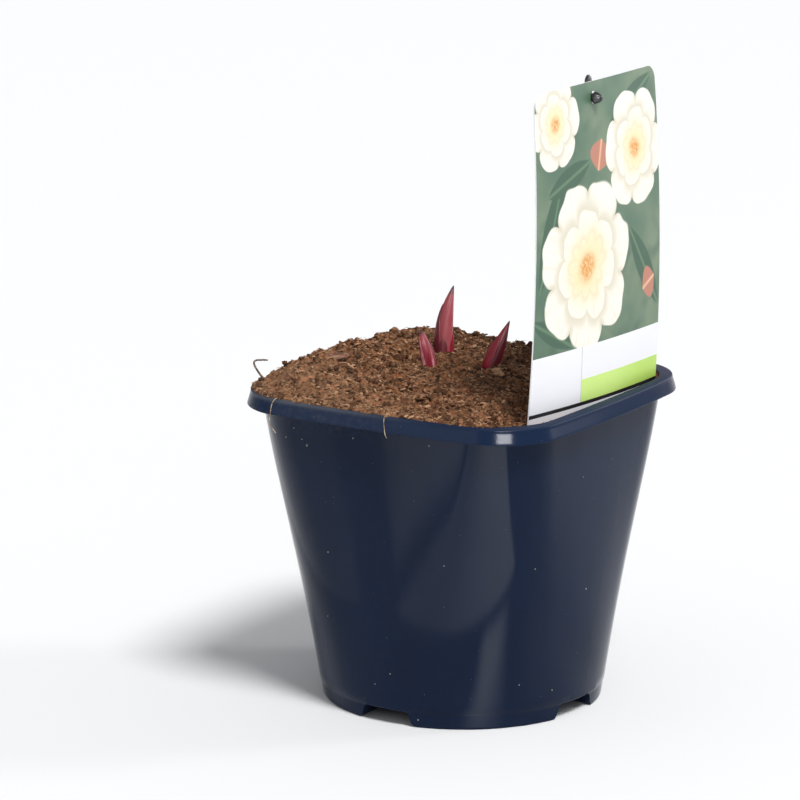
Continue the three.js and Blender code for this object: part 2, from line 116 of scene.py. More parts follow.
def shaped_grid(columns, rows, place, closed=False, **marks):
    """A grid whose corners go where place(across, up) puts them, with across and up from 0 to 1.
    A closed grid meets itself where across is 0 and 1, and a row that is one point becomes a pole.
    Each mark is a number that every corner carries, from mark(across, up)."""
    bm = bmesh.new()
    bmesh.ops.create_grid(bm, x_segments=columns, y_segments=rows, size=0.5)
    layers = {name: bm.verts.layers.float.new(name) for name in marks}
    for vert in bm.verts:
        across, up = vert.co.x + 0.5, vert.co.y + 0.5
        vert.co = place(across, up)
        for name, mark in marks.items():
            vert[layers[name]] = mark(across, up)
    if closed:
        bmesh.ops.remove_doubles(bm, verts=bm.verts, dist=hair / 5)
        bmesh.ops.recalc_face_normals(bm, faces=bm.faces)
    return bm


def turned(levels):
    """A closed body that goes through levels round the pot's axis."""
    def place(across, up):
        curve, z, inset = levels[round(up * (len(levels) - 1))]
        return (*curve(z, inset, across % 1), z)
    return shaped_grid(pot_columns, len(levels) - 1, place, closed=True)


def in_scene(name, data):
    """A new object of the scene that holds the data."""
    made = bpy.data.objects.new(name, data)
    bpy.context.collection.objects.link(made)
    return made


def set_piece(bm, name, materials, sharp=35):
    """Puts a modelled shape into the scene, smooth but for edges that turn by more than sharp."""
    mesh = bpy.data.meshes.new(name)
    bm.to_mesh(mesh)
    bm.free()
    mesh.shade_smooth()
    mesh.set_sharp_from_angle(angle=math.radians(sharp))
    for material in materials:
        mesh.materials.append(material)
    return in_scene(name, mesh)


def cut(body, tool, operation="DIFFERENCE"):
    """body as a bmesh, cut by the bmesh tool."""
    pieces = [set_piece(bm, "blank", []) for bm in (body, tool)]
    knife = pieces[0].modifiers.new("knife", "BOOLEAN")
    knife.operation, knife.solver, knife.object = operation, "MANIFOLD", pieces[1]
    done = bmesh.new()
    done.from_object(pieces[0], bpy.context.evaluated_depsgraph_get())
    for piece in pieces:
        bpy.data.meshes.remove(piece.data)
    return done


def channel_tool(turn, grow):
    """The block that cuts one channel, with its edges rounded where the notch shows in the wall."""
    slope = (channel_bottom - channel_top) / foot_height
    top, below, beside = foot_height + grow, -3 * mm, 30 * mm
    foot = channel_bottom + grow
    outline = [(-beside, below), (beside, below), (beside, 0), (foot, 0)]
    outline += [(foot - slope * top, top), (slope * top - foot, top), (-foot, 0), (-beside, 0)]
    bm = bmesh.new()
    face = bm.faces.new([bm.verts.new((recess_radius / 2, y, z)) for y, z in outline])
    corners = [vert for vert in bm.verts if abs(vert.co.y) < beside]
    bmesh.ops.bevel(bm, geom=corners, offset=channel_rounding, affect="VERTICES", segments=6,
                    profile=0.5, material=-1)
    pushed = bmesh.ops.extrude_face_region(bm, geom=bm.faces[:])["geom"]
    ends = [item for item in pushed if isinstance(item, bmesh.types.BMVert)]
    bmesh.ops.translate(bm, verts=ends, vec=(foot_radius, 0, 0))
    bmesh.ops.recalc_face_normals(bm, faces=bm.faces)
    bm.transform(Matrix.Translation((0, 0, -hair)) @ Matrix.Rotation(math.radians(turn), 4, "Z"))
    return bm


def bearing(turn):
    """The level way that is turned by so many degrees from +X."""
    return Matrix.Rotation(math.radians(turn), 3, "Z") @ Vector((1, 0, 0))


def drill(radius, depth, at=Vector((0, 0, 0))):
    """The upright round bar that cuts a hole."""
    bm = bmesh.new()
    bmesh.ops.create_cone(bm, cap_ends=True, segments=96, radius1=radius, radius2=radius,
                          depth=depth, matrix=Matrix.Translation(at))
    return bm


under_rim, skirt_foot = pot_height - rim_thick, pot_height - rim_depth
hem_inside, hem_middle = wall - rim_flare, wall / 2 - rim_flare
hem_inner = (skirt_foot + 0.3 * mm, hem_inside + 0.1 * mm)
hem_outer = (skirt_foot + 0.5 * mm, 0.15 * mm - rim_flare)
outside = [(at_middle, 0, 0), (at_wall, 0, sole_width)]
outside += rounding(at_wall, (0, sole_edge), (0, foot_step), (sole_edge_height, foot_step))
outside += straight(at_wall, (sole_edge_height, foot_step), (foot_height, foot_step), 4)
outside += rounding(at_wall, (foot_height - foot_step, foot_step), (foot_height, foot_step),
                    (foot_height + foot_step, 0), 2)
outside += straight(at_wall, (foot_height + foot_step, 0), (under_rim, 0), wall_rows)
outside += [(at_wall, under_rim, 0), (at_rim, under_rim, wall)]
outside += straight(at_rim, (under_rim, wall), (skirt_foot, hem_inside), 3)
outside += rounding(at_rim, hem_inner, (skirt_foot, hem_inside), (skirt_foot, hem_middle), 3)
outside += rounding(at_rim, (skirt_foot, hem_middle), (skirt_foot, -rim_flare), hem_outer, 4)
outside += straight(at_rim, hem_outer, (pot_height - rim_edge, 0), 6)
outside += rounding(at_rim, (pot_height - rim_edge, 0), (pot_height, 0), (pot_height, rim_edge), 6)
outside += [(at_rim, pot_height, 2 * rim_edge), (at_middle, pot_height, 0)]

lip_inset, above_pot = wall - lip - 0.05 * mm, pot_height + 1 * mm
inside = [(at_middle, foot_skin, 0), (at_wall, foot_skin, wall + 2 * hollow_edge)]
inside += rounding(at_wall, (foot_skin, wall + hollow_edge), (foot_skin, wall),
                   (foot_skin + hollow_edge, wall), 3)
inside += straight(at_wall, (foot_skin + hollow_edge, wall), (pot_height - lip, wall), hollow_rows)
inside += rounding(at_wall, (pot_height - lip, wall), (pot_height, wall), (pot_height + hair, lip_inset))
inside += [(at_wall, above_pot, lip_inset), (at_middle, above_pot, 0)]

pot_shape = cut(turned(outside), drill(recess_radius, 2 * foot_height))
hollow = cut(turned(inside), drill(recess_radius + foot_skin, 2 * (foot_height + foot_skin)))
for turn in channel_turns:
    pot_shape = cut(pot_shape, channel_tool(turn, 0))
    hollow = cut(hollow, channel_tool(turn, foot_skin))
pot_shape = cut(pot_shape, hollow)
pot_shape = cut(pot_shape, drill(middle_hole, 4 * foot_height))
for turn in channel_turns:
    pot_shape = cut(pot_shape, drill(channel_hole, 4 * foot_height, channel_hole_at * bearing(turn)))


def screen(red, green, blue):
    """A colour given by its screen values from 0 to 255."""
    shares = [value / 255 for value in (red, green, blue)]
    return (*(s / 12.92 if s < 0.04 else ((s + 0.055) / 1.055) ** 2.4 for s in shares), 1)


def node(tree, kind, inputs=(), **settings):
    """A node of a tree, with its settings. Each input is a number, a colour or a node's output."""
    made = tree.nodes.new("ShaderNode" + kind)
    for name, value in settings.items():
        setattr(made, name, value)
    for socket, value in dict(inputs).items():
        if isinstance(value, bpy.types.NodeSocket):
            tree.links.new(value, made.inputs[socket])
        else:
            made.inputs[socket].default_value = value
    return made


def math_node(operation, *values):
    """A step of arithmetic, in the tree of the node outputs among its values."""
    tree = next(value.id_data for value in values if isinstance(value, bpy.types.NodeSocket))
    return node(tree, "Math", enumerate(values), operation=operation).outputs[0]


def times(value, factor):
    """A product of two values, of which one is a node output, as in plus."""
    return math_node("MULTIPLY", value, factor)


def plus(value, more):
    return math_node("ADD", value, more)


def band(value, low, high, start=0, end=1):
    """Goes smoothly from start to end as value goes from low to high."""
    inputs = {"Value": value, "From Min": low, "From Max": high, "To Min": start, "To Max": end}
    return node(value.id_data, "MapRange", inputs, interpolation_type="SMOOTHSTEP").outputs[0]


def blend_colour(share, under, over):
    made = node(share.id_data, "Mix", {0: share, 6: under, 7: over}, data_type="RGBA")
    return made.outputs[2]


def new_material(name, **plain):
    """A material, its node tree and its shader. plain holds what is the same all over the piece."""
    material = bpy.data.materials.new(name)
    material.use_nodes = True
    shader = material.node_tree.nodes["Principled BSDF"]
    for socket, value in plain.items():
        shader.inputs[socket.replace("_", " ")].default_value = value
    return material, material.node_tree, shader


def finish_with(shader, colour, roughness=None, height=None, depth=0):
    """Joins what changes over the surface to its shader. height makes a bump that is depth high."""
    tree = shader.id_data
    tree.links.new(colour, shader.inputs["Base Color"])
    if roughness:
        tree.links.new(roughness, shader.inputs["Roughness"])
    if height:
        bump = node(tree, "Bump", {"Height": height, "Distance": depth, "Strength": 1.0})
        tree.links.new(bump.outputs[0], shader.inputs["Normal"])


def new_group(name, outputs, **inputs):
    """A node group with named number inputs and their usual values, and named outputs."""
    group = bpy.data.node_groups.new(name, "ShaderNodeTree")
    for socket, value in inputs.items():
        made = group.interface.new_socket(socket, in_out="INPUT", socket_type="NodeSocketFloat")
        made.default_value = value
    for socket in outputs:
        group.interface.new_socket(socket, in_out="OUTPUT", socket_type="NodeSocketFloat")
    return group, group.nodes.new("NodeGroupInput").outputs, group.nodes.new("NodeGroupOutput").inputs


# Soft patches of noise on the piece, as in uneven colour and shine
mottle, given, gives = new_group("mottle", ["Mask"], Size=5 * mm, Stretch=1, Detail=3, Low=0.4, High=0.6)
place = node(mottle, "TexCoord").outputs["Object"]
squeeze = node(mottle, "CombineXYZ", {"X": 1.0, "Y": 1.0, "Z": given["Stretch"]}).outputs[0]
place = node(mottle, "VectorMath", {0: place, 1: squeeze}, operation="MULTIPLY").outputs[0]
pitch = math_node("DIVIDE", 1.0, given["Size"])
grain = node(mottle, "TexNoise", {"Vector": place, "Scale": pitch, "Detail": given["Detail"]})
mottle.links.new(band(grain.outputs[0], given["Low"], given["High"]), gives["Mask"])

# Fine pale specks, as of dust, over a share of cells of the given size
dust, given, gives = new_group("dust", ["Mask"], Size=4 * mm, Share=0.3, Speck=0.05)
place = node(dust, "TexCoord").outputs["Object"]
cells = node(dust, "TexVoronoi", {"Vector": place, "Scale": math_node("DIVIDE", 1.0, given["Size"])})
dot = band(cells.outputs["Distance"], given["Speck"], 0.0)
pick = node(dust, "SeparateColor", {0: cells.outputs["Color"]}).outputs[0]
dust.links.new(times(dot, math_node("LESS_THAN", pick, given["Share"])), gives["Mask"])


def placed(tree, group, **values):
    """Places a node group in a tree, with its values, and gives its outputs."""
    inputs = {name.capitalize(): value for name, value in values.items()}
    return node(tree, "Group", inputs, node_tree=group).outputs


def mottled(tree, **values):
    """The mask of the soft patches, of the given size."""
    return placed(tree, mottle, **values)[0]


def object_place(tree):
    """The x, y and z of a point on the piece."""
    return node(tree, "SeparateXYZ", {0: node(tree, "TexCoord").outputs["Object"]}).outputs


navy, navy_deep, skirt_painted_light = screen(19, 33, 57), screen(15, 28, 51), screen(24, 38, 63)
pale_dust_and_highlight, back_highlight_pale = screen(150, 150, 145), screen(130, 122, 132)

# Where each finish, painted light and painted highlight of the rim starts and where it is full: heights,
# or a side in X or Y
skirt_heights, matt_heights = (130 * mm, 132.5 * mm), (137.2 * mm, 137.9 * mm)
powder_heights, edge_highlight_heights = (121 * mm, 131 * mm), (136 * mm, 137.6 * mm)
dust_and_highlight_side, back_highlight_side, back_highlight_heights = (35 * mm, -30 * mm), (28 * mm, 72 * mm), (124 * mm, 132 * mm)

pot_plastic, tree, shader = new_material("pot_plastic", IOR=1.49, Specular_IOR_Level=0.1)
x, y, z = object_place(tree)
uneven = mottled(tree, size=45 * mm, stretch=0.6, low=0.35, high=0.65)
scuffs = mottled(tree, size=2.5 * mm, stretch=0.12, detail=5, low=0.56, high=0.75)
specks = placed(tree, dust, size=5 * mm, share=0.8, speck=0.05)[0]
dust_and_edge_highlight = mottled(tree, size=2.4 * mm, detail=4, low=0.35, high=0.8)
# Dust in patches below the rim, and a painted highlight along the rim's top edge, both towards -X.
dust_and_edge_highlight = math_node("MULTIPLY_ADD", dust_and_edge_highlight, band(z, *powder_heights, 0, 0.3), band(z, *edge_highlight_heights))
dust_and_edge_highlight = times(dust_and_edge_highlight, band(x, *dust_and_highlight_side, 0, 0.16))
# A painted highlight: near the rim the wall is painted paler towards +Y.
painted_back_highlight = times(band(z, *back_highlight_heights), band(y, *back_highlight_side, 0, 0.2))
plastic = blend_colour(uneven, navy, navy_deep)
# Painted light: the skirt under the rim is given a paler navy than the wall.
for share, colour in ((band(z, *skirt_heights), skirt_painted_light), (dust_and_edge_highlight, pale_dust_and_highlight),
                      (painted_back_highlight, back_highlight_pale), (times(specks, 0.55), pale_dust_and_highlight)):
    plastic = blend_colour(share, plastic, colour)
matt = plus(band(z, *matt_heights, 0, 0.4), band(z, *skirt_heights, 0, 0.1))
wear_and_ridge_highlight = band(plus(times(scuffs, 0.35), uneven), 0, 1.35, 0.06, 0.13)
finish_with(shader, plastic, roughness=plus(matt, wear_and_ridge_highlight), depth=0.045 * mm,
            height=mottled(tree, size=14 * mm, stretch=0.25, detail=1, low=0.2, high=0.8))

pot = set_piece(pot_shape, "navy_pot", [pot_plastic])
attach(pot, "root")
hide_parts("pot")

# The soil
# Moist peat and coir, filled into the pot and heaped higher towards its -X wall. Its surface is a
# loose crust of clods, and it sinks a little where the card is pushed in.

soil_cells, soil_gap = 232, 0.2 * mm
soil_at_rim, corner_loss = -0.6 * mm, 18 * mm
mound_low, mound_height, mound_reach = 2.5 * mm, 8.5 * mm, 17 * mm
mound_rise, right_loss, right_fall = (-20 * mm, 58 * mm), 0.45, (-5 * mm, 60 * mm)
card_side, card_side_drop = (30 * mm, 66 * mm), 2.2 * mm
back_bank, back_bank_rise = 4 * mm, (52 * mm, 68 * mm)
right_bank, right_bank_rise = 2.4 * mm, (45 * mm, 66 * mm)
clod_height, clod_size, clods_at_wall = 2.8 * mm, 7.5 * mm, 0.45
fine_clods, fine_pitch, fine_shift = 0.6, 2.3, 9
column_step, line_step, lattice_scatter = 127.1, 311.7, 43758.5453
crumb_reliefs, crumbs_at_wall = [(1.6 * mm, 3.4 * mm), (0.9 * mm, 1.3 * mm)], 0.35
crust_drop, side_top, side_rows = 0.35 * mm, pot_height - 6 * mm, 8

# Lumps and hollows in the crust, in mm: the place, the radius and how far the middle rises
lumps = [(10, 13, 6, 2.2), (9.7, -50, 5.5, 1.0), (-29, 2, 9, -1.9), (-53, 14, 16, -2.4),
         (-44, 38, 13, -1.3), (-20, 47, 11, -1.0), (-15, -4, 8, -1.2), (3, 29, 8, -1.6),
         (-38, -10, 9, 0.9), (-24, -34, 7, 0.8), (-50, -44, 8, 0.7), (24, -44, 6, 0.8),
         (30, 12, 8, -1.4), (-8, -26, 6, 0.7), (-52, 22, 10, -4), (-53, -39, 6, -1.2),
         (-22, 58, 6, -1.5), (60, 60, 10, 2.4), (-63, -52, 6, -1.8)]


def smooth_step(value, low, high):
    share = min(max((value - low) / (high - low), 0), 1)
    return share * share * (3 - 2 * share)


def lattice_noise(x, y):
    """Repeatable noise from 0 to 1 that runs smoothly between the points of a square lattice."""
    def draw(column, line):
        return math.sin(column_step * column + line_step * line) * lattice_scatter % 1
    column, line = math.floor(x), math.floor(y)
    u, v = smooth_step(x - column, 0, 1), smooth_step(y - line, 0, 1)
    near = lerp(draw(column, line), draw(column + 1, line), u)
    far = lerp(draw(column, line + 1), draw(column + 1, line + 1), u)
    return lerp(near, far, v)


def soil_height(x, y):
    """The soil's height with its clods, and how far the point lies from the wall, from 0 to 1."""
    away = min(wall_half - max(abs(x), abs(y)),
               (2 * wall_half - corner_loss - abs(x) - abs(y)) / math.sqrt(2))
    free = smooth_step(away, 0, mound_reach)
    right = 1 - right_loss * smooth_step(y, *right_fall)
    by_card = smooth_step(x, *card_side)
    mound = (mound_low + mound_height * smooth_step(-x, *mound_rise) * right) * free * (1 - by_card)
    banks = back_bank * smooth_step(-x, *back_bank_rise) * right
    banks += right_bank * smooth_step(y, *right_bank_rise) * (1 - by_card)
    u, v = x / clod_size, y / clod_size
    clods = lattice_noise(u, v) - 0.5
    clods += fine_clods * (lattice_noise(fine_pitch * u + fine_shift, fine_pitch * v) - 0.5)
    clods *= clod_height * lerp(clods_at_wall, 1, free)
    return pot_height + soil_at_rim + mound - card_side_drop * by_card + banks + clods, free


def soil_top(x, y):
    """The soil's crust: its height with loose clods and crumbs."""
    height, free = soil_height(x, y)
    for lump_x, lump_y, radius, rise in lumps:
        away = math.hypot(x - lump_x * mm, y - lump_y * mm)
        height += rise * mm * smooth_step(away, radius * mm, 0)
    crumbs = sum(relief * noise.noise(Vector((x, y, layer * mm)) / size)
                 for layer, (relief, size) in enumerate(crumb_reliefs))
    return height + crumbs * lerp(crumbs_at_wall, 1, free) - crust_drop


def mouth_turn(a, b):
    """Where the line from the middle of the mouth through (a, b) meets the wall, and how far out
    (a, b) lies on it, for a and b from -1 to 1."""
    ring = max(abs(a), abs(b), 1e-6)
    if abs(a) >= abs(b):
        quarter, along = (0 if a > 0 else 2), (b if a > 0 else -b)
    else:
        quarter, along = (1 if b > 0 else 3), (-a if b > 0 else a)
    share = lerp((side_share - 1) / 2, (side_share + 1) / 2, (along / ring + 1) / 2)
    return (quarter + share) / 4 % 1, ring


def on_soil(a, b):
    """A point of the crust for a and b from -1 to 1, which run over the pot's mouth."""
    turn, ring = mouth_turn(a, b)
    x, y = ring * at_wall(pot_height, wall + hair, turn)
    return Vector((x, y, soil_top(x, y)))


soil_shape = bmesh.new()
bmesh.ops.create_grid(soil_shape, x_segments=soil_cells, y_segments=soil_cells, size=1)
turn_here = soil_shape.verts.layers.float.new("turn")
for vert in soil_shape.verts:
    vert[turn_here] = mouth_turn(vert.co.x, vert.co.y)[0]
    vert.co = on_soil(vert.co.x, vert.co.y)
edge = [e for e in soil_shape.edges if e.is_boundary]
under = foot_skin + soil_gap
for row in range(side_rows + 1):
    z = lerp(side_top, under, row / side_rows)
    grown = bmesh.ops.extrude_edge_only(soil_shape, edges=edge)["geom"]
    edge = [item for item in grown if isinstance(item, bmesh.types.BMEdge)]
    for vert in (item for item in grown if isinstance(item, bmesh.types.BMVert)):
        vert.co = (*at_wall(z, wall + soil_gap, vert[turn_here]), z)
bmesh.ops.holes_fill(soil_shape, edges=edge)
bmesh.ops.recalc_face_normals(soil_shape, faces=soil_shape.faces)
soil_shape = cut(soil_shape, drill(recess_radius + under, 2 * (foot_height + under)))
for turn in channel_turns:
    soil_shape = cut(soil_shape, channel_tool(turn, under))

soil_dark, soil_mid = screen(54, 30, 15), screen(150, 104, 71)
soil_light, soil_red = screen(208, 165, 128), screen(154, 92, 60)
soil_painted_shade = screen(40, 22, 10)


def soil_colour(tree, lightness):
    """The colour of peat and coir, with a lightness from 0 for wet peat to 1 for dry coir. It has
    painted shade, darker towards the back and the right, and painted light, paler towards the front
    left."""
    x, y, _ = object_place(tree)
    to_back_right = math_node("MULTIPLY_ADD", x, 0.5, times(y, 0.9))
    warm = mottled(tree, size=3.1 * mm, detail=1, low=0.5, high=0.68)
    pale = mottled(tree, size=1.4 * mm, low=0.48, high=0.72)
    clumps = mottled(tree, size=6 * mm, detail=3, low=0.4, high=0.65)
    layers = [(times(warm, 0.5), soil_red), (times(pale, lightness), soil_light),
              (times(clumps, 0.45), soil_dark),
              # Painted light towards the front left, then painted shade towards the back and the right,
              # where the card's shadow falls.
              (band(to_back_right, -35 * mm, -75 * mm, 0, 0.14), soil_light),
              (band(to_back_right, 0, 48 * mm, 0, 0.62), soil_painted_shade)]
    colour = blend_colour(mottled(tree, size=2 * mm, detail=3, low=0.34, high=0.66), soil_dark, soil_mid)
    for share, over in layers:
        colour = blend_colour(share, colour, over)
    return colour


peat, tree, shader = new_material("peat", Specular_IOR_Level=0.12, Roughness=0.9)
finish_with(shader, soil_colour(tree, 0.35), depth=0.25 * mm,
            height=mottled(tree, size=0.5 * mm, detail=4, low=0.2, high=0.8))
soil = set_piece(soil_shape, "potting_soil", [peat], sharp=60)
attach(soil, "root")
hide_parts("soil")

# The loose soil
# Crumbs of peat, coir fibres and bark chips that lie loose on the crust, as they fell when the pot
# was filled.

random.seed(24)
small_crumbs, large_crumbs, chip_count = 4600, 1700, 1500
thin_fibres, slivers = 2200, 1500
crumb_sizes, clod_sizes = (0.35 * mm, 1 * mm), (0.8 * mm, 2 * mm)
chip_sizes = (0.8 * mm, 2 * mm)
fibre_lengths, fibre_girths = (2 * mm, 6.5 * mm), (0.08 * mm, 0.13 * mm)
sliver_lengths, sliver_girths = (1.2 * mm, 4 * mm), (0.15 * mm, 0.28 * mm)
clumps = [(random.uniform(-0.96, 0.96), random.uniform(-0.96, 0.96)) for _ in range(260)]
clump_share, clump_spread, mouth_edge = 0.55, 0.02, 0.985
behind_card, behind_card_half, behind_card_drop = 62 * mm, 54 * mm, 2 * mm

# Soil also lies on the rim, from the -X side round the left corner and along the -Y side
spill_start, spill_full, spill_thinning, spill_end = 0.635, 0.66, 0.89, 0.93
spill_corner, corner_reach = 0.7, 0.06
spill_reach, spill_height, spill_ragged = (3 * mm, 3.9 * mm), (1.2 * mm, 2.4 * mm), 0.7 * mm
spill_inner, spill_outer, spill_foot = 8 * mm, 4.8 * mm, pot_height + 0.03 * mm
ragged_pitches, lump_relief, lump_size, inner_slope = ((90, 1), (310, 0.5)), 0.45, 1.6 * mm, 0.35
spill_rows, spill_share, top_share = 240, 0.09, 0.75


def spill_size(turn):
    """How far the soil on the rim reaches outwards, and how high it lies."""
    ends = smooth_step(turn, spill_start, spill_full) * smooth_step(turn, spill_end, spill_thinning)
    ragged = sum(share * noise.noise(Vector((pitch * turn, row, 0)))
                 for row, (pitch, share) in enumerate(ragged_pitches))
    heap = smooth_step(abs(turn - spill_corner), corner_reach, 0)
    reach = lerp(spill_reach[0] + spill_ragged * ragged, spill_reach[1], heap)
    return ends * reach, ends * lerp(*spill_height, heap)


def on_spill(along, out):
    """A point on top of the soil that lies on the rim, from its inner to its outer side."""
    turn = lerp(spill_start, spill_end, along)
    reach, height = spill_size(turn)
    edge = at_rim(pot_height, lerp(spill_inner, spill_outer - reach, out), turn)
    lump = 1 + lump_relief * noise.noise(Vector((*edge, 0)) / lump_size)
    height *= lump * smooth_step(out, 0, inner_slope) * math.sqrt(max(1 - out ** 3, 0))
    return Vector((*edge, spill_foot + height))


def spill_point(across, up):
    """A point of the closed body of that soil: over its top, then back along its flat foot."""
    if across < top_share:
        return on_spill(up, across / top_share)
    foot = on_spill(up, (1 - across) / (1 - top_share))
    return Vector((foot.x, foot.y, spill_foot))


spill = set_piece(shaped_grid(16, spill_rows, spill_point, closed=True), "soil_on_rim", [peat], sharp=60)
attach(spill, "root")


def smooth_path(points, steps):
    """Points on a smooth curve through the given ones, with steps on each stretch."""
    ends = [2 * points[0] - points[1], *points, 2 * points[-1] - points[-2]]
    path = []
    for a, b, c, d in zip(ends, ends[1:], ends[2:], ends[3:]):
        for t in (step / steps for step in range(steps)):
            bend = a - 2.5 * b + 2 * c - 0.5 * d + t * (1.5 * (b - c) + 0.5 * (d - a))
            path.append(b + t * (0.5 * (c - a) + t * bend))
    return path + [points[-1]]


def thread(points, flat, sides, steps=1):
    """A closed round body along a path whose points are (x, y, z, radius). It bends in the plane
    square to flat."""
    path = smooth_path([Vector(point) for point in points], steps)
    rows, last = len(path) + 1, len(path) - 1

    def place(across, up):
        row = min(max(round(up * rows) - 1, 0), last)
        middle, radius = path[row].xyz, path[row].w
        if up in (0, 1):
            return middle
        way = (path[min(row + 1, last)] - path[max(row - 1, 0)]).xyz
        beside = way.cross(flat).normalized()
        angle = math.tau * across
        return middle + radius * (math.cos(angle) * flat + math.sin(angle) * beside)
    return shaped_grid(sides, rows, place, closed=True)


def as_mesh(bm, tone):
    """A shape to strew. tone goes with it, as how pale it is, from 0 for wet peat to 1 for coir."""
    shade = bm.verts.layers.float.new("tone")
    for vert in bm.verts:
        vert[shade] = tone
    mesh = bpy.data.meshes.new("loose")
    bm.to_mesh(mesh)
    bm.free()
    return mesh


def crumb_shape(subdivisions, roughness, tone):
    """A round crumb of radius 1, with corners that go in and out by up to roughness."""
    bm = bmesh.new()
    bmesh.ops.create_icosphere(bm, subdivisions=subdivisions, radius=1)
    for vert in bm.verts:
        vert.co *= 1 + roughness * random.uniform(-1, 1)
    return as_mesh(bm, tone)


def fibre_shape(bow, tone):
    """A fibre 1 long in X, which bends by bow."""
    points = [(x - 0.5, bow * (x * (1 - x) - 0.12), 0, fibre_girth * (1 + math.sin(math.pi * x)) / 2)
              for x in (0, 0.25, 0.5, 0.75, 1)]
    return as_mesh(thread(points, Vector((0, 0, 1)), 4), tone)


def strewn(shapes, places):
    """One of the shapes at each place, all in one body."""
    whole = bmesh.new()
    for place in places:
        mesh = random.choice(shapes)
        mesh.transform(place)
        whole.from_mesh(mesh)
        mesh.transform(place.inverted())
    return whole


def lying(spot, sizes, tilt):
    """Puts a shape of the given sizes on a spot, turned at random and tilted by up to tilt."""
    lean, turn = random.uniform(-tilt, tilt), random.uniform(0, math.tau)
    roll = random.uniform(0, math.tau if tilt > 1 else 0.3)
    return Matrix.LocRotScale(spot, Euler((roll, lean, turn)), Vector(sizes))


def random_spot(rise):
    """A spot on the crust, or on the soil that lies on the rim, raised by rise."""
    if random.random() < spill_share:
        spot = on_spill(random.random(), random.uniform(0.1, 1))
    else:
        a, b = random.uniform(-mouth_edge, mouth_edge), random.uniform(-mouth_edge, mouth_edge)
        if random.random() < clump_share:
            a, b = (min(max(random.gauss(value, clump_spread), -mouth_edge), mouth_edge)
                    for value in random.choice(clumps))
        spot = on_soil(a, b)
        if spot.x > behind_card and abs(spot.y) < behind_card_half:
            spot.z -= behind_card_drop
    return spot + Vector((0, 0, rise))


def crumb_places(count, sizes):
    """Places for crumbs, more of them small than large, and each partly sunk."""
    for _ in range(count):
        size = lerp(*sizes, random.random() ** 2)
        shape = [size * random.uniform(0.7, 1.3) for _ in "xyz"]
        yield lying(random_spot(random.uniform(-0.75, 0.1) * size), shape, 3)


def fibre_places(count, lengths, girths):
    """Places for fibres, more of them short than long, which lie nearly flat."""
    for _ in range(count):
        length = lerp(*lengths, random.random() ** 2)
        girth = random.uniform(*girths) / fibre_girth
        spot = random_spot(random.uniform(0, 0.45) * mm)
        yield lying(spot, (length, max(girth, 0.5 * length), girth), 0.4)


def chip_places(count):
    """Places for bark flakes, which are flat."""
    for _ in range(count):
        size = random.uniform(*chip_sizes)
        yield lying(random_spot(0.15 * mm), (size, 0.55 * size, 0.22 * size), 0.5)


fibre_girth = 0.05
tones = (0.05, 0.3, 0.45, 0.6, 0.85)
crumb_meshes = [crumb_shape(1, 0.28, tone) for tone in tones]
clod_meshes = [crumb_shape(2, 0.2, tone) for tone in tones[:3]]
fibre_meshes = [fibre_shape(bow, tone) for bow in (0.2, 0.7, 1.1) for tone in (0.35, 0.6, 0.8, 1)]

crumbly, tree, shader = new_material("loose_soil", Specular_IOR_Level=0.12, Roughness=0.85)
tone = node(tree, "Attribute", attribute_name="tone").outputs["Fac"]
colour = blend_colour(band(tone, 0.4, 1.0, 0, 0.8), soil_colour(tree, 0.6), soil_light)
finish_with(shader, blend_colour(band(tone, 0.4, 0.0, 0, 0.7), colour, soil_dark), depth=0.15 * mm,
            height=mottled(tree, size=0.4 * mm, detail=3, low=0.2, high=0.8))

loose = {
    "soil_crumbs": strewn(crumb_meshes, crumb_places(small_crumbs, crumb_sizes)),
    "soil_clods": strewn(clod_meshes, crumb_places(large_crumbs, clod_sizes)),
    "coir_fibres": strewn(fibre_meshes, fibre_places(thin_fibres, fibre_lengths, fibre_girths)),
    "coir_slivers": strewn(fibre_meshes, fibre_places(slivers, sliver_lengths, sliver_girths)),
    "bark_flakes": strewn(crumb_meshes, chip_places(chip_count))}
for name, shape in loose.items():
    piece = set_piece(shape, name, [crumbly], sharp=80)
    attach(piece, "root")

# The crown
# The peony's woody rootstock, buried under the buds, with thick storage roots that taper as they go
# down into the soil.

crown_middle, crown_size = Vector((-13, 13, 105)) * mm, Vector((22, 18, 11)) * mm
crown_grain, crown_relief, crown_voxel = 3 * mm, 0.35 * mm, 0.9 * mm
seat_places = [(-22, 20.6, 111), (-18.2, 2.4, 111), (2.1, 18.9, 111)]
seat_foot, seat_top, seat_height = 5 * mm, 3.5 * mm, 12 * mm

# Each storage root: bearing, reach, drop and girth, sizes in mm
storage_roots = [(200, 30, 52, 5.5), (255, 26, 68, 6.5), (320, 34, 58, 6), (35, 28, 64, 5),
                 (118, 22, 60, 5.8)]
root_levels, root_flare, root_fall, root_taper = (0, 0.15, 0.35, 0.6, 0.85, 1), 0.7, 1.25, 0.45

crown_shape = bmesh.new()
bmesh.ops.create_icosphere(crown_shape, subdivisions=4, radius=1,
                           matrix=Matrix.LocRotScale(crown_middle, None, crown_size))
crown_parts = [crown_shape]
for place in seat_places:
    seat = bmesh.new()
    bmesh.ops.create_cone(seat, cap_ends=True, segments=32, radius1=seat_foot, radius2=seat_top,
                          depth=seat_height, matrix=Matrix.Translation(Vector(place) * mm))
    crown_parts.append(seat)
for turn, reach, drop, girth in storage_roots:
    way = bearing(turn)
    points = []
    for t in root_levels:
        swell = 0.45 + 0.75 * math.sin(math.pi * min(t + 0.2, 1))
        point = way * reach * t ** root_flare - Vector((0, 0, drop * t ** root_fall))
        points.append((*(crown_middle + point * mm), girth * swell * (1 - root_taper * t) * mm))
    crown_parts.append(thread(points, way.cross(Vector((0, 0, 1))), 24, 4))


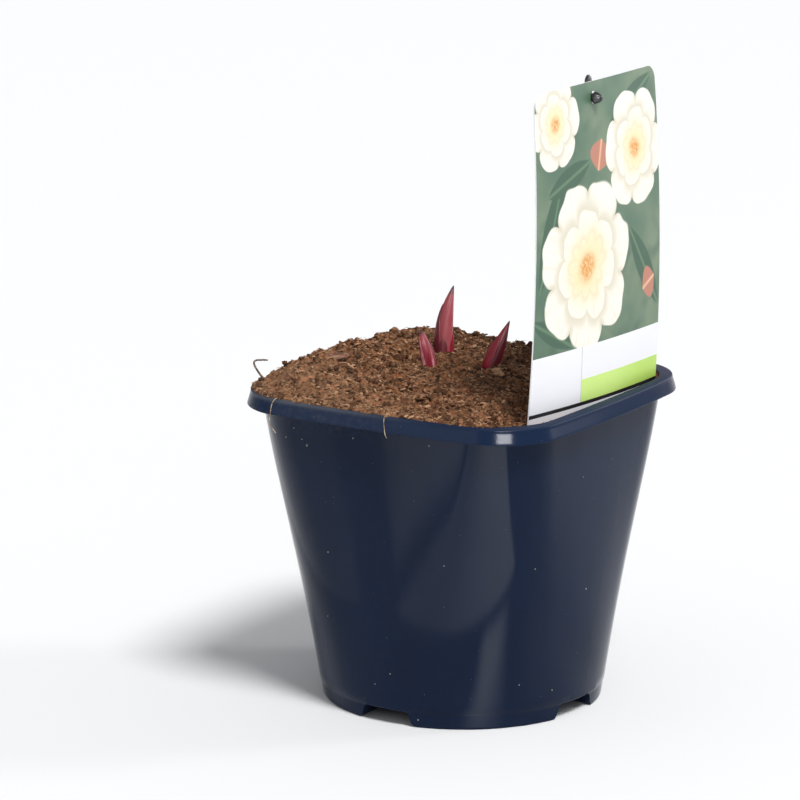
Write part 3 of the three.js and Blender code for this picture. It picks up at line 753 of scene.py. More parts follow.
def gathered(shapes):
    """All the shapes in one body."""
    whole = bmesh.new()
    for shape in shapes:
        mesh = bpy.data.meshes.new("part")
        shape.to_mesh(mesh)
        shape.free()
        whole.from_mesh(mesh)
        bpy.data.meshes.remove(mesh)
    return whole


crown_blank = set_piece(gathered(crown_parts), "blank", [])
knit = crown_blank.modifiers.new("knit", "REMESH")
knit.mode, knit.voxel_size = "VOXEL", crown_voxel
crown_shape = bmesh.new()
crown_shape.from_object(crown_blank, bpy.context.evaluated_depsgraph_get())
bpy.data.meshes.remove(crown_blank.data)
bmesh.ops.smooth_vert(crown_shape, verts=crown_shape.verts, factor=0.5, use_axis_x=True,
                      use_axis_y=True, use_axis_z=True)
for vert in crown_shape.verts:
    vert.co += vert.normal * crown_relief * noise.noise(vert.co / crown_grain)


def grained_material(name, under, over, depth, grain, **plain):
    """A material whose grain sets its relief, and its colour from under to over."""
    material, tree, shader = new_material(name, **plain)
    mask = mottled(tree, **grain)
    finish_with(shader, blend_colour(mask, under, over), height=mask, depth=depth)
    return material


root_bark = grained_material("root_bark", screen(112, 72, 44), screen(158, 112, 72), 0.3 * mm,
                             {"size": 3 * mm, "stretch": 3}, Roughness=0.85, Specular_IOR_Level=0.3)
crown = set_piece(crown_shape, "crown", [root_bark], sharp=60)
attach(crown, "root")
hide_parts("peony_crown")

# The buds
# Three winter buds that push up out of the soil. Each is a pointed stem inside smooth crimson
# scales, which wrap half round it and overlap from the foot up.

soil_level, stem_foot, stem_radius = 140 * mm, 117.3 * mm, 3 * mm
bud_tip, scale_thick, scale_sunk, scale_start = 0.15 * mm, 0.6 * mm, 0.25 * mm, -0.1
neck_depth, stem_ribs, rib_twist, rib_relief, scale_narrowing = 6, 5, 3, 0.02, 0.93
lean_way = bearing(32.05)

# Each bud: foot, height, radius, lean, how late it bends, how late it tapers, and its scales.
# Each scale: turn, wrap, rise, lift, how blunt it is, keel, and its tint from crimson at 0 through dark
# at 0.5 to rosy at 1, which is partly painted light and shade.
tall_bud = ((-22.4, 20.4), 33.5, 3.9, 4.4, 2.5, 2.7,
            [(-140, 70, 0.76, 0.3, 2.0, 0.0, 0.42), (110, 74, 0.8, 0.35, 1.5, 0.0, 0.3),
             (-34, 54, 0.94, 0.4, 2.2, 0.0, 0.92), (4, 34, 0.38, 0.5, 4.0, 0.0, 0.05),
             (-64, 32, 0.32, 0.6, 6.0, 0.1, 0.58)])
left_bud = ((-17.6, 1.6), 17.8, 2.8, -4, 1.2, 3.4,
            [(150, 66, 0.7, 0.4, 1.7, 0.0, 0.4), (60, 60, 0.8, 0.4, 1.6, 0.0, 0.5),
             (-98, 62, 0.92, 0.45, 2.2, 0.6, 0.06), (-24, 50, 0.56, 0.6, 3.0, 0.35, 0.02)])
right_bud = ((2.3, 19), 20.8, 3.5, 8.2, 1.15, 2.0,
             [(-170, 60, 0.6, 0.35, 1.9, 0.0, 0.3), (98, 66, 0.74, 0.35, 1.6, 0.0, 0.4),
              (-16, 60, 0.84, 0.2, 2.2, 0.0, 0.4), (-104, 58, 0.9, 0.25, 2.4, 0.0, 0.1)])


def make_bud(foot, height, radius, lean, bend, taper, scales):
    """A bud and its stem as one body, with marks for its colours and its painted light and shade."""
    low = (stem_foot - soil_level) / (height * mm)
    root_end = -neck_depth / height

    def girth(t):
        return bud_tip + radius * mm * (1 - min(max(t, 0), 1) ** taper)

    def around(t, reach, angle):
        middle = Vector((foot[0] * mm, foot[1] * mm, soil_level + height * mm * t))
        middle += lean_way * lean * mm * max(t, 0) ** bend
        return middle + reach * Vector((math.cos(angle), math.sin(angle), 0))

    def core(across, up):
        t = lerp(low, 1, up)
        full = smooth_step(t, root_end, root_end / 3)
        angle = math.tau * across
        rib = 1 + rib_relief * math.sin(stem_ribs * angle + rib_twist * t)
        reach = 0 if up in (0, 1) else lerp(stem_radius, girth(t), full) * rib
        return around(t, reach, angle)

    def scale(turn, wrap, rise, lift, blunt, keel, rosy):
        def side_at(across):
            return 4 * across - 1 if across < 0.5 else 3 - 4 * across

        def place(across, up):
            t, side, foot_end = lerp(scale_start, rise, up), side_at(across), min(8 * up, 1)
            half = wrap * (1 - scale_narrowing * up ** blunt)
            thick = scale_thick * math.sqrt(1 - abs(side) ** 3) * (1 - up ** 6) * foot_end
            reach = girth(t) - scale_sunk + (lift * mm + scale_sunk) * up ** 2
            if across < 0.5:
                reach += thick + keel * mm * max(1 - abs(2 * side), 0) * foot_end * (1 - up)
            return around(t, reach, math.radians(turn + half * side))
        return shaped_grid(48, 36, place, closed=True, edge=lambda across, up: abs(side_at(across)),
                           rise=lambda across, up: lerp(scale_start, rise, up),
                           rosy=lambda across, up: rosy,
                           ridge=lambda across, up: keel * max(1 - 3 * abs(side_at(across)), 0))

    stem = shaped_grid(40, 60, core, closed=True, edge=lambda across, up: 0,
                       rise=lambda across, up: lerp(low, 1, up), rosy=lambda across, up: 0.75,
                       ridge=lambda across, up: 0)
    return gathered([stem] + [scale(*values) for values in scales])


bud_dark, bud_crimson = screen(92, 20, 34), screen(158, 18, 46)
bud_rose, bud_tip_colour, keel_highlight = screen(190, 92, 98), screen(58, 36, 44), screen(244, 176, 184)
bud_skin, tree, shader = new_material("bud_skin", IOR=1.45, Specular_IOR_Level=0.3, Coat_Weight=0.12,
                                     Coat_Roughness=0.2)
rise, rosy, edge, ridge = (node(tree, "Attribute", attribute_name=name).outputs["Fac"]
                           for name in ("rise", "rosy", "edge", "ridge"))
veins = mottled(tree, size=0.9 * mm, stretch=0.08, detail=2, low=0.3, high=0.7)
blotch = mottled(tree, size=4 * mm, stretch=0.5, detail=3, low=0.35, high=0.65)
# A painted highlight along the keel of the scales, broken up by the blotches.
wear_and_ridge_highlight = times(band(ridge, 0.02, 0.26, 0, 0.95), band(blotch, 0, 1, 0.4, 1))
layers = [(band(rosy, 0.4, 1.0), bud_rose), (times(veins, 0.1), bud_dark),
          (times(blotch, 0.22), bud_crimson), (band(edge, 0.86, 0.97, 0, 0.22), bud_rose),
          (wear_and_ridge_highlight, keel_highlight), (band(rise, 0.82, 0.98, 0, 0.95), bud_tip_colour)]
# The tint is partly the scales' own colour and partly painted light and shade: scales in shade, as on
# the right bud's side by the card, get dark tints, and lit ones rosy tints.
skin = blend_colour(band(rosy, 0, 0.5), bud_crimson, bud_dark)
for share, colour in layers:
    skin = blend_colour(share, skin, colour)
finish_with(shader, skin, roughness=band(veins, 0, 1, 0.42, 0.5), height=veins, depth=0.02 * mm)

for name, bud in {"shoot_tall": tall_bud, "shoot_left": left_bud, "shoot_right": right_bud}.items():
    piece = set_piece(make_bud(*bud), name + "_bud", [bud_skin], sharp=50)
    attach(piece, "root")
    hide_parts(name)

# The dry root
# A dead root as thin as wire. It sticks up out of the soil in the left corner and bends over.

# Each point of a root: x, y, z and radius, in mm
hook_points = [(-62, -50.5, 132, 0.5), (-64, -51.7, 136.3, 0.5), (-66.4, -52.8, 139.4, 0.48),
               (-68.9, -54.2, 143, 0.45), (-70.4, -55.2, 146, 0.43), (-70.8, -55.4, 147.8, 0.42),
               (-70, -54.9, 148.7, 0.42), (-68, -53.6, 148.9, 0.4), (-65.8, -52.2, 148.8, 0.34)]
hook_flat = Vector((0.53, -0.85, 0)).normalized()
dry_bark = grained_material("dry_bark", screen(84, 74, 66), screen(136, 122, 106), 0.1 * mm,
                            {"size": 1.2 * mm}, Roughness=0.8, Specular_IOR_Level=0.3)
hook_shape = thread([Vector(point) * mm for point in hook_points], hook_flat, 12, 5)
hook = set_piece(hook_shape, "hooked_dry_root", [dry_bark])
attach(hook, "root")
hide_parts("hooked_root")

# Two pale root threads that hang over the rim on the -Y side
thread_girth, thread_flat = 0.17, Vector((1, 0.1, 0)).normalized()
thread_paths = [[(-47.2, -72, 138.9), (-47.4, -74.8, 138.4), (-48, -76.1, 136.4), (-48.5, -77.1, 130.2),
                 (-48.2, -76.9, 127.7), (-46, -76.2, 124.3)],
                [(6.8, -72, 138.8), (7.2, -74.7, 138), (7.4, -75.6, 135.4), (8.8, -76.9, 131.2),
                 (9.7, -77, 129.6)]]
pale_root = grained_material("pale_root", screen(128, 98, 78), screen(196, 178, 150), 0.05 * mm,
                             {"size": 1.6 * mm}, Roughness=0.75, Specular_IOR_Level=0.3)
for number, path in enumerate(thread_paths):
    points = [Vector((*point, thread_girth)) * mm for point in path]
    piece = set_piece(thread(points, thread_flat, 8, 5), f"root_thread_{number}", [pale_root])
    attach(piece, "root")

# The larger bits
# Single clods, chips and slivers that lie on the crust, and dry crumbs that stick to the pot's wall.

# Each clod: place x and y, rise, length, width, thickness, turn and tone, all sizes in mm
larger_clods = [(13.2, 5.6, 1.6, 1.9, 1.5, 1.1, 20, 1.1), (15.9, 4.9, 1.7, 2.1, 1.5, 1.1, -25, 1.35),
                (18.1, 3.8, 1.3, 1.5, 1.2, 0.9, 10, 0.9), (14.8, 3.2, 1.2, 1.3, 1, 0.7, 50, 1.2),
                (10.2, -50.8, 0.2, 4.2, 3.8, 1.1, 0, 0.45), (17.8, -58.4, 0.3, 1.7, 1, 0.6, 60, 1),
                (26.8, -32.2, 0.3, 1.5, 0.9, 0.5, 20, 0.9), (-33.6, -61, 0.3, 1.3, 0.8, 0.5, 20, 1),
                (-66, -57, 0.2, 1.2, 1, 1, 0, 0), (-61.5, -45.5, 1.2, 1.2, 1, 1, 0, -0.4),
                (-56.5, -39.5, 0.8, 1.3, 1, 0.9, 40, -0.4), (-53, -30, 0.7, 1.8, 1.2, 1, 10, -0.4),
                (-52, -22, 0.6, 1.4, 1.1, 0.9, 70, -0.4), (-46, 36, 0.4, 2, 1.3, 1, 20, -0.4),
                (-30, 50, 0.4, 1.8, 1.2, 0.9, 0, -0.4)]
# Each sliver: place x and y, rise, length, girth, turn and tone
larger_slivers = [(-3.7, -42, 0.5, 5, 0.42, 28, 1), (8.2, -66.6, 0.6, 9, 0.4, -8, 0.8),
                  (-46.2, -57.1, 0.6, 4.5, 0.3, 50, 0.9), (-15, 22, 0.6, 5, 0.3, 70, 0.5)]
# Each crumb on the wall: place x, y and z, and size
wall_crumbs = [(60.8, -41.9, 72.7, 0.25), (64.9, -5.8, 55.9, 0.32), (58.5, -22.9, 14.5, 0.28),
               (51.4, -38.5, 19.7, 0.25), (14.3, -59.6, 3.6, 0.3), (30, -64.5, 74.8, 0.25),
               (-27.6, -64.5, 72.4, 0.28), (-30.9, -59.7, 42.5, 0.25), (25.8, -69.7, 126.9, 0.3),
               (68.5, -15.7, 107.7, 0.2), (2.2, -62.6, 22.8, 0.25), (-5.7, -62, 16.9, 0.2),
               (-46.4, -67.9, 120.8, 0.3), (-37.6, -68.9, 121.3, 0.28), (-41.5, -69.1, 125.7, 0.28),
               (-11.4, -69.8, 125.4, 0.3), (-35.2, -68.8, 119, 0.45), (68.6, 8.9, 110.2, 0.22)]

clod_lumps = [(0.4, 1.6), (0.5, 3.6)]
clod_mesh, crumb_mesh = crumb_shape(3, 0.05, 0), crumb_shape(2, 0.15, 0)
sliver_mesh = fibre_shape(0.25, 0)
for vert in clod_mesh.vertices:
    vert.co *= 1 + sum(relief * noise.noise(pitch * vert.co) for relief, pitch in clod_lumps)


def on_crust(x, y, rise):
    """The point above (x, y) that lies higher than the crust by rise, from sizes in mm."""
    return Vector((x * mm, y * mm, soil_top(x * mm, y * mm) + rise * mm))


def add_bit(whole, mesh, tone, spot, turn, sizes):
    """Adds a copy of the mesh to the whole, with sizes in mm."""
    for value in mesh.attributes["tone"].data:
        value.value = tone
    place = Matrix.LocRotScale(spot, Euler((0, 0, math.radians(turn))), Vector(sizes) * mm)
    mesh.transform(place)
    whole.from_mesh(mesh)
    mesh.transform(place.inverted())


bits = bmesh.new()
for x, y, rise, length, width, thickness, turn, tone in larger_clods:
    add_bit(bits, clod_mesh, tone, on_crust(x, y, rise), turn, (length, width, thickness))
for x, y, rise, length, girth, turn, tone in larger_slivers:
    wide = girth / fibre_girth
    add_bit(bits, sliver_mesh, tone, on_crust(x, y, rise), turn, (length, wide, wide))
larger = set_piece(bits, "larger_bits", [crumbly], sharp=80)
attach(larger, "root")

grit = grained_material("grit", screen(112, 112, 110), screen(168, 164, 152), 0.05 * mm,
                        {"size": 0.3 * mm, "detail": 2}, Roughness=0.85, Specular_IOR_Level=0.25)
grains = bmesh.new()
for *spot, size in wall_crumbs:
    add_bit(grains, crumb_mesh, 0, Vector(spot) * mm, 0, (size, size, 1.3 * size))
stuck = set_piece(grains, "wall_crumbs", [grit], sharp=80)
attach(stuck, "root")

# The bark chip
# One flat chip of pine bark, larger than the rest, which lies on the slope of the soil.

chip_size, chip_place = Vector((7.4, 2.7, 0.8)) * mm, (-47, -31.4, 1.2)
chip_tilt, chip_slope, chip_turn = (math.radians(angle) for angle in (16, -5, 36))
chip_squareness, layer_relief, layer_pitch = (0.6, 0.7, 0.5), 0.12, Vector((2, 7, 3))
chip_shape = bmesh.new()
bmesh.ops.create_icosphere(chip_shape, subdivisions=4, radius=1)
for vert in chip_shape.verts:
    flat = Vector([math.copysign(abs(value) ** power, value)
                   for value, power in zip(vert.co, chip_squareness)])
    vert.co = flat * chip_size * (1 + layer_relief * noise.noise(flat * layer_pitch))
chip_ways = Euler((chip_tilt, chip_slope, chip_turn))
chip_shape.transform(Matrix.LocRotScale(on_crust(*chip_place), chip_ways, None))

chip_bark = grained_material("chip_bark", screen(98, 64, 48), screen(152, 110, 86), 0.3 * mm,
                             {"size": 2.5 * mm, "stretch": 2, "detail": 4, "low": 0.4, "high": 0.6},
                             Roughness=0.8, Specular_IOR_Level=0.3)
chip = set_piece(chip_shape, "bark_chip", [chip_bark], sharp=60)
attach(chip, "root")

# The card
# A printed plastic sheet with rounded corners and a punched hole, which stands in the soil just
# inside the +X wall. It bows gently forwards and its foot ends in the soil.

card_width, card_height, card_thick = 104.7 * mm, 148 * mm, 0.6 * mm
card_corner, card_hole, card_hole_y, card_hole_z = 6 * mm, 2.7 * mm, -2.3 * mm, 266.4 * mm
card_x, card_y, card_top, card_skew = 62.4 * mm, 1.1 * mm, 273.2 * mm, 0.011
card_lean, card_twist = 0.8 * mm, (-0.021, 0.024)
card_bow, card_belly = (0.7 * mm, 3.1 * mm), 2.9 * mm
card_margin, punch_depth, uv_unit = 4 * mm, 9 * mm, 100 * mm


def card_point(across, down):
    """A point of the card's face, across from -0.5 to 0.5 and down from 0 to 1."""
    sag, beside = card_height * down, across * card_width
    x = card_x + lerp(*card_bow, down ** 2) * (1 - (2 * across) ** 2)
    x += card_belly * (1 - (2 * down - 1) ** 2) + lerp(*card_twist, down) * beside + card_lean * down
    y = card_y + beside - card_skew * (sag - card_height / 2)
    return Vector((x, y, card_top - sag - card_skew * beside))


sheet = bmesh.new()
bmesh.ops.create_grid(sheet, x_segments=56, y_segments=80, size=0.5,
                      matrix=Matrix.Translation((0, 0, -card_thick))
                      @ Matrix.Diagonal((card_width + card_margin, card_height + card_margin, 1, 1)))
pushed = bmesh.ops.extrude_face_region(sheet, geom=sheet.faces[:])["geom"]
bmesh.ops.translate(sheet, verts=[v for v in pushed if isinstance(v, bmesh.types.BMVert)],
                    vec=(0, 0, card_thick))
bmesh.ops.recalc_face_normals(sheet, faces=sheet.faces)
outline = bmesh.new()
bmesh.ops.create_cube(outline, size=1,
                      matrix=Matrix.Diagonal((card_width, card_height, punch_depth, 1)))
upright = [e for e in outline.edges if abs(e.verts[0].co.z - e.verts[1].co.z) > mm]
bmesh.ops.bevel(outline, geom=upright, offset=card_corner, affect="EDGES", segments=10, profile=0.5,
                material=-1)
sheet = cut(sheet, outline, "INTERSECT")
hole_down = (card_top - card_hole_z) / card_height
hole_at = Vector((card_hole_y - card_y, card_height * (0.5 - hole_down), 0))
sheet = cut(sheet, drill(card_hole, punch_depth, hole_at))
bmesh.ops.triangulate(sheet, faces=[f for f in sheet.faces if len(f.verts) > 4])
print_uv = sheet.loops.layers.uv.new("print")
for face in sheet.faces:
    face.material_index = 0 if face.normal.z > 0.5 else 1
    for loop in face.loops:
        at = loop.vert.co
        loop[print_uv].uv = (at.x / uv_unit, at.y / uv_unit)
for vert in sheet.verts:
    flat = vert.co.copy()
    vert.co = card_point(flat.x / card_width, 0.5 - flat.y / card_height)
    vert.co.x += flat.z


def print_place(tree):
    return node(tree, "UVMap", uv_map="print").outputs[0]


def print_noise(uv, size, detail):
    inputs = {"Vector": uv, "Scale": size, "Detail": detail}
    return node(uv.id_data, "TexNoise", inputs).outputs[0]


def from_point(uv, x, y, turn):
    """uv counted from the point (x, y) along axes that are turned by turn."""
    tree = uv.id_data
    point = node(tree, "CombineXYZ", {"X": x, "Y": y}).outputs[0]
    away = node(tree, "VectorMath", {0: uv, 1: point}, operation="SUBTRACT").outputs[0]
    turned_back = node(tree, "VectorRotate", {"Vector": away, "Angle": times(turn, -1.0)},
                       rotation_type="Z_AXIS")
    return node(tree, "SeparateXYZ", {0: turned_back.outputs[0]}).outputs


def between_lines(value, low, high):
    return times(math_node("GREATER_THAN", value, low), math_node("LESS_THAN", value, high))


def lobes(operation, turns):
    """Goes from 0 between two petals to 1 at a petal's middle."""
    return math_node("ABSOLUTE", math_node(operation, turns))


def petal_rim(lobe, tip, size):
    """How far petals reach from the heart: size, and tip more along their middle."""
    return math_node("MULTIPLY_ADD", lobe, tip, size)


def shadow(past, soft_edge, reach, strength=1):
    """The shade that a ring of petals casts on the ring below. past is how far a point lies
    outside the upper ring's rim."""
    return times(band(past, 0, soft_edge), band(past, reach, 0, 0, strength))


# A round blossom seen from the front, with three rings of petals and a heart. Its sizes are shares
# of the blossom's own.
ruffle, blunt = 0.12, 0.5
outer_size, outer_tip, inner_size, inner_tip = 0.8, 0.2, 0.46, 0.16
curl_size, curl_tip, curl_pitch, curl_shift = 0.27, 0.09, 1.5, 0.6
heart_size, glow_size, fan_pitch, tuft_scale = (0.24, 0.06), (0.62, 0.15), 5.0, 60.0

blossom, given, gives = new_group("blossom", ["Mask", "Crease", "Glow", "Heart"],
                                  X=0, Y=0, Size=0.3, Turn=0, Petals=8)
uv = print_place(blossom)
x, y, _ = from_point(uv, given["X"], given["Y"], given["Turn"])
angle = math_node("ARCTAN2", y, x)
reach = math_node("DIVIDE", math_node("SQRT", plus(times(x, x), times(y, y))), given["Size"])
reach = plus(reach, math_node("MULTIPLY_ADD", print_noise(uv, 6.0, 1.0), 2 * ruffle, -ruffle))
half_turns = times(angle, times(given["Petals"], 0.5))
outer_lobe, inner_lobe = lobes("COSINE", half_turns), lobes("SINE", half_turns)
curl_lobe = lobes("COSINE", math_node("MULTIPLY_ADD", half_turns, curl_pitch, curl_shift))
outer_rim = petal_rim(math_node("POWER", outer_lobe, blunt), outer_tip, outer_size)
inner_rim = petal_rim(math_node("POWER", inner_lobe, blunt), inner_tip, inner_size)
curl_rim = petal_rim(curl_lobe, curl_tip, curl_size)
under_inner = shadow(math_node("SUBTRACT", reach, inner_rim), 0.015, 0.22)
under_curls = shadow(math_node("SUBTRACT", reach, curl_rim), 0.015, 0.12, 0.7)
between = times(band(outer_lobe, 0.45, 0), band(reach, 0.5, 0.8))
fan = node(blossom, "CombineXYZ", {"X": times(angle, fan_pitch), "Y": reach}).outputs[0]
creases = band(print_noise(fan, 2.5, 3.0), 0.48, 0.75, 0, 0.55)
for shade in (between, under_curls, under_inner):
    creases = math_node("MAXIMUM", creases, shade)
tuft = band(print_noise(uv, tuft_scale, 2.0), 0.35, 0.6, 0.45, 1)
blossom.links.new(band(math_node("SUBTRACT", outer_rim, reach), 0, 0.03), gives["Mask"])
blossom.links.new(creases, gives["Crease"])
blossom.links.new(band(reach, *glow_size), gives["Glow"])
blossom.links.new(times(band(reach, *heart_size), tuft), gives["Heart"])

# A leaf, or a closed bud, with a vein along its middle
soft_rim, vein_width = 0.012, 0.002
leaf, given, gives = new_group("leaf", ["Mask", "Vein"], X=0, Y=0, Length=0.3, Width=0.1, Turn=0)
along, beside, _ = from_point(print_place(leaf), given["X"], given["Y"], given["Turn"])
share = math_node("DIVIDE", along, given["Length"])
fullness = times(share, math_node("SUBTRACT", 1.0, share))
rim = times(times(fullness, 2.0), given["Width"])
off_middle = math_node("ABSOLUTE", beside)
leaf.links.new(band(math_node("SUBTRACT", rim, off_middle), 0, soft_rim), gives["Mask"])
leaf.links.new(band(off_middle, soft_rim, vein_width), gives["Vein"])

picture_foot, divider, divider_edges = -0.362, -0.15, (-0.154, -0.149)
lime_strip, black_line = (-0.6, -0.503), (-0.616, -0.6)
print_slope, print_rise = 0.018, 0.002
leaf_list = [(-0.5, -0.1, 0.55, 0.15, 1.2), (0.5, 0.72, 0.5, 0.13, 3.6), (0.1, 0.25, 0.42, 0.12, 0.5),
             (-0.45, 0.3, 0.4, 0.12, 0.3), (0.52, -0.3, 0.5, 0.13, 2.2), (-0.2, -0.36, 0.4, 0.1, 2.7)]
bud_list = [(-0.02, 0.36, 0.14, 0.18, 1.3), (0.36, -0.2, 0.12, 0.16, 0.4)]
blossom_list = [(-0.12, -0.02, 0.37, 0.2, 7), (0.3, 0.42, 0.26, 0.9, 6), (-0.36, 0.6, 0.2, 0.1, 6)]
leaf_green, leaf_vein = screen(52, 88, 66), screen(88, 122, 92)
bud_red, bud_vein = screen(186, 122, 100), screen(226, 176, 140)
ground, ground_light, ground_dark = screen(76, 108, 86), screen(112, 132, 106), screen(54, 88, 70)
petal, petal_crease = screen(248, 243, 230), screen(222, 214, 194)
petal_glow, petal_heart = screen(246, 222, 160), screen(224, 150, 62)
card_white, line_black, line_grey = screen(238, 238, 242), screen(20, 20, 22), screen(196, 200, 200)
lime_left, lime_right = screen(206, 238, 128), screen(186, 224, 94)

card_face, tree, shader = new_material("card_face", Roughness=0.4, IOR=1.45)
uv = print_place(tree)
across, up, _ = node(tree, "SeparateXYZ", {0: uv}).outputs
up = math_node("MULTIPLY_ADD", across, print_slope, plus(up, print_rise))
leafy = print_noise(uv, 3.2, 2.0)
ink = blend_colour(band(leafy, 0.35, 0.65), ground, ground_light)
ink = blend_colour(band(print_noise(uv, 7.0, 1.0), 0.5, 0.75, 0, 0.6), ink, ground_dark)
for places, flesh, middle in ((leaf_list, leaf_green, leaf_vein), (bud_list, bud_red, bud_vein)):
    for x, y, length, width, turn in places:
        mask, vein = placed(tree, leaf, x=x, y=y, length=length, width=width, turn=turn)
        ink = blend_colour(mask, ink, blend_colour(vein, flesh, middle))
for x, y, size, turn, petals in blossom_list:
    mask, crease, glow, heart = placed(tree, blossom, x=x, y=y, size=size, turn=turn, petals=petals)
    fill = blend_colour(crease, petal, petal_crease)
    fill = blend_colour(times(glow, 0.75), fill, petal_glow)
    ink = blend_colour(mask, ink, blend_colour(heart, fill, petal_heart))
ink = blend_colour(math_node("GREATER_THAN", up, picture_foot), card_white, ink)
lime = times(between_lines(up, *lime_strip), math_node("GREATER_THAN", across, divider))
ink = blend_colour(lime, ink, blend_colour(band(across, 0, 0.5), lime_left, lime_right))
ink = blend_colour(between_lines(up, *black_line), ink, line_black)
thin = times(between_lines(across, *divider_edges), between_lines(up, lime_strip[0], picture_foot))
finish_with(shader, blend_colour(thin, ink, line_grey), roughness=band(leafy, 0.3, 0.7, 0.34, 0.44))

card_back, tree, shader = new_material("card_back", Roughness=0.5, IOR=1.45)
pulp = mottled(tree, size=0.8 * mm, low=0.3, high=0.7)
finish_with(shader, blend_colour(pulp, screen(238, 238, 239), screen(243, 243, 243)),
            roughness=band(pulp, 0, 1, 0.45, 0.55))

card = set_piece(sheet, "plant_card", [card_face, card_back], sharp=40)
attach(card, "root")
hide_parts("label")

# The stake
# A black moulded stake behind the card. Near its top a peg with a barbed head goes through the
# card's hole and holds the card.

stake_foot, stake_length, stake_y = 92 * mm, 183.6 * mm, -1.9 * mm
stake_x_foot, stake_x_top, stake_depth, stake_width = 61.6 * mm, 61.2 * mm, 2.2 * mm, 3.4 * mm
stake_squareness = 0.4

# Each level of the stake: its rise in mm, and its share of the full depth and width
stake_sections = [(0, 0), (0, 0.25), (7, 0.65), (14, 1), (60, 1), (110, 1), (160, 1), (180.6, 1),
                  (181.9, 0.9), (182.8, 0.75), (183.6, 0.4), (183.6, 0)]

# The peg's barbed head: how far in front of the card, and its radius, in mm
barb_sections = [(0.1, 2.4), (0.5, 2.5), (1.3, 2.42), (2.1, 2.12), (2.9, 1.65), (3.5, 1.2), (3.8, 0.75)]
peg_radius, peg_proud, peg_end = 1.7 * mm, 0.6 * mm, 0.5 * mm


def stake_ring(across, up):
    rise, share = stake_sections[round(up * (len(stake_sections) - 1))]
    angle = math.tau * across
    x, y = (math.copysign(abs(way) ** stake_squareness, way) / 2 * share
            for way in (math.cos(angle), math.sin(angle)))
    middle = lerp(stake_x_foot, stake_x_top, rise * mm / stake_length)
    return middle + x * stake_depth, stake_y + y * stake_width, stake_foot + rise * mm


peg_front = card_point(0, hole_down).x + peg_proud
peg_points = [(stake_x_top, peg_radius), (peg_front - peg_end, peg_radius)]
peg_points += [(peg_front + out * mm, radius * mm) for out, radius in barb_sections]
peg_points = [(x, card_hole_y, card_hole_z, radius) for x, radius in peg_points]
stake_shape = gathered([shaped_grid(32, len(stake_sections) - 1, stake_ring, closed=True),
                        thread(peg_points, Vector((0, 0, 1)), 32)])

stake_plastic, tree, shader = new_material("stake_plastic", IOR=1.49)
wear = mottled(tree, size=2 * mm, detail=4)
finish_with(shader, blend_colour(wear, screen(20, 21, 23), screen(34, 35, 38)),
            roughness=band(wear, 0, 1, 0.32, 0.5), height=wear, depth=0.03 * mm)

stake = set_piece(stake_shape, "card_stake", [stake_plastic], sharp=40)
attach(stake, "root")
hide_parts("label_stake")

# The studio
# A pale floor with soft lights around the pot, and the camera where the photo was taken.

floor_radius, floor_white = 8, (0.86, 0.86, 0.86, 1)
floor_shape = bmesh.new()
bmesh.ops.create_circle(floor_shape, cap_ends=True, segments=64, radius=floor_radius)
floor_paper, _, _ = new_material("floor_paper", Roughness=0.9, Base_Color=floor_white)
floor = set_piece(floor_shape, "floor", [floor_paper])

world = bpy.data.worlds.new("studio")
bpy.context.scene.world = world
world.use_nodes = True
sky = world.node_tree.nodes["Background"].inputs
sky["Color"].default_value, sky["Strength"].default_value = (0.95, 0.97, 1, 1), 0.4
lamps_face, sun_away, box_away = Vector((0, 0, 0.12)), 2, 1.5


def hang_lamp(name, kind, azimuth, elevation, away, power, **settings):
    """A lamp that faces the soil from the given bearing, in degrees, and distance."""
    lamp = bpy.data.lights.new(name, kind)
    lamp.energy = power
    for setting, value in settings.items():
        setattr(lamp, setting, value)
    stand, rise = in_scene(name, lamp), math.radians(elevation)
    way = math.cos(rise) * bearing(azimuth) + Vector((0, 0, math.sin(rise)))
    stand.location = lamps_face + away * way
    stand.rotation_euler = way.to_track_quat("Z", "Y").to_euler()
    return stand


def soft_box(name, azimuth, elevation, width, height, power):
    """A soft box, which only shows where something glossy mirrors it."""
    box = hang_lamp(name, "AREA", azimuth, elevation, box_away, power, shape="RECTANGLE", size=width,
                    size_y=height)
    box.visible_camera = box.visible_diffuse = False


hang_lamp("key light", "SUN", -28, 58, sun_away, 2.6, angle=math.radians(18))
hang_lamp("back light", "SUN", 40, 36, sun_away, 0.4, angle=math.radians(10))
soft_box("strip light", -52, 19, 0.56, 0.18, 21)
soft_box("left panel", -118, 19, 1.3, 0.7, 3.4)
soft_box("right panel", 58, 19, 1.6, 0.7, 12)

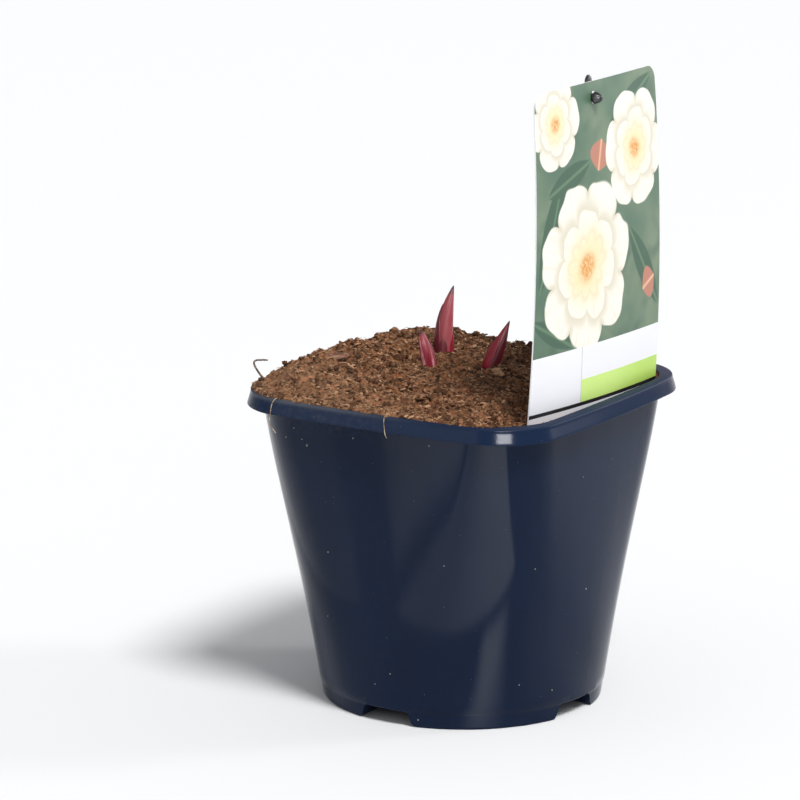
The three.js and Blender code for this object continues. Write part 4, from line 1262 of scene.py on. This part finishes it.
# A pale sheet of light just above the floor, in patches, which only shows where the pot's gloss
# mirrors it. Each patch: its strength, then its sides. A side is the way that leads into the patch,
# and how far along that way, in mm, the light starts and is full.
patches = [(1.25, [(1, 0, -58, -36), (0.43, -0.9, 127, 134), (-0.884, -0.471, -103, -93)]),
           (2.3, [(1, 0, -10, 150), (0.43, -0.9, 127, 134), (-0.884, -0.471, -103, -93)]),
           (1.7, [(0.81, -0.58, 57, 66), (-1, 0, 50, 110)]),
           (0.5, [(-0.82, 0.572, -16, 0), (-0.751, -0.66, 166, 174)]),
           (4.2, [(0.698, 0.717, -19, -6), (-0.376, -0.927, 18, 40), (-0.43, 0.9, -128, -112)]),
           (0.35, [(1, 0, 50, 80), (0, 1, -60, -20), (-1, 0, -190, -100), (0, -1, -70, -10)])]
sheet_size, sheet_place = 1.1, (0.1, -0.05, mm)
sheet_lamp = bpy.data.lights.new("floor sheet", "AREA")
sheet_lamp.shape, sheet_lamp.size, sheet_lamp.size_y = "RECTANGLE", sheet_size, sheet_size
sheet_lamp.energy = math.pi * sheet_size ** 2
sheet_lamp.use_nodes = True
tree = sheet_lamp.node_tree
spot_here = node(tree, "NewGeometry").outputs["Position"]
glow = 0
for strength, sides in patches:
    share = strength
    for *way, start, full in sides:
        along = node(tree, "VectorMath", {0: spot_here, 1: (*way, 0)}, operation="DOT_PRODUCT")
        share = times(share, band(along.outputs["Value"], start * mm, full * mm))
    glow = plus(glow, share)
tree.links.new(glow, tree.nodes["Emission"].inputs["Strength"])
floor_sheet = in_scene("floor sheet", sheet_lamp)
floor_sheet.location, floor_sheet.rotation_euler = sheet_place, (math.pi, 0, 0)
floor_sheet.visible_camera = floor_sheet.visible_diffuse = False

camera_place, camera_tilt, camera_turn = (0.92781, -1.53269, 0.55553), 13.39, 32.056
camera = bpy.data.cameras.new("camera")
camera.lens, camera.sensor_width, camera.clip_start = 192.79, 36, 0.05
camera_stand = in_scene("camera", camera)
camera_stand.location = camera_place
camera_stand.rotation_euler = (math.radians(90 - camera_tilt), 0, math.radians(camera_turn))
bpy.context.scene.camera = camera_stand
bpy.context.scene.view_settings.view_transform = "Standard"
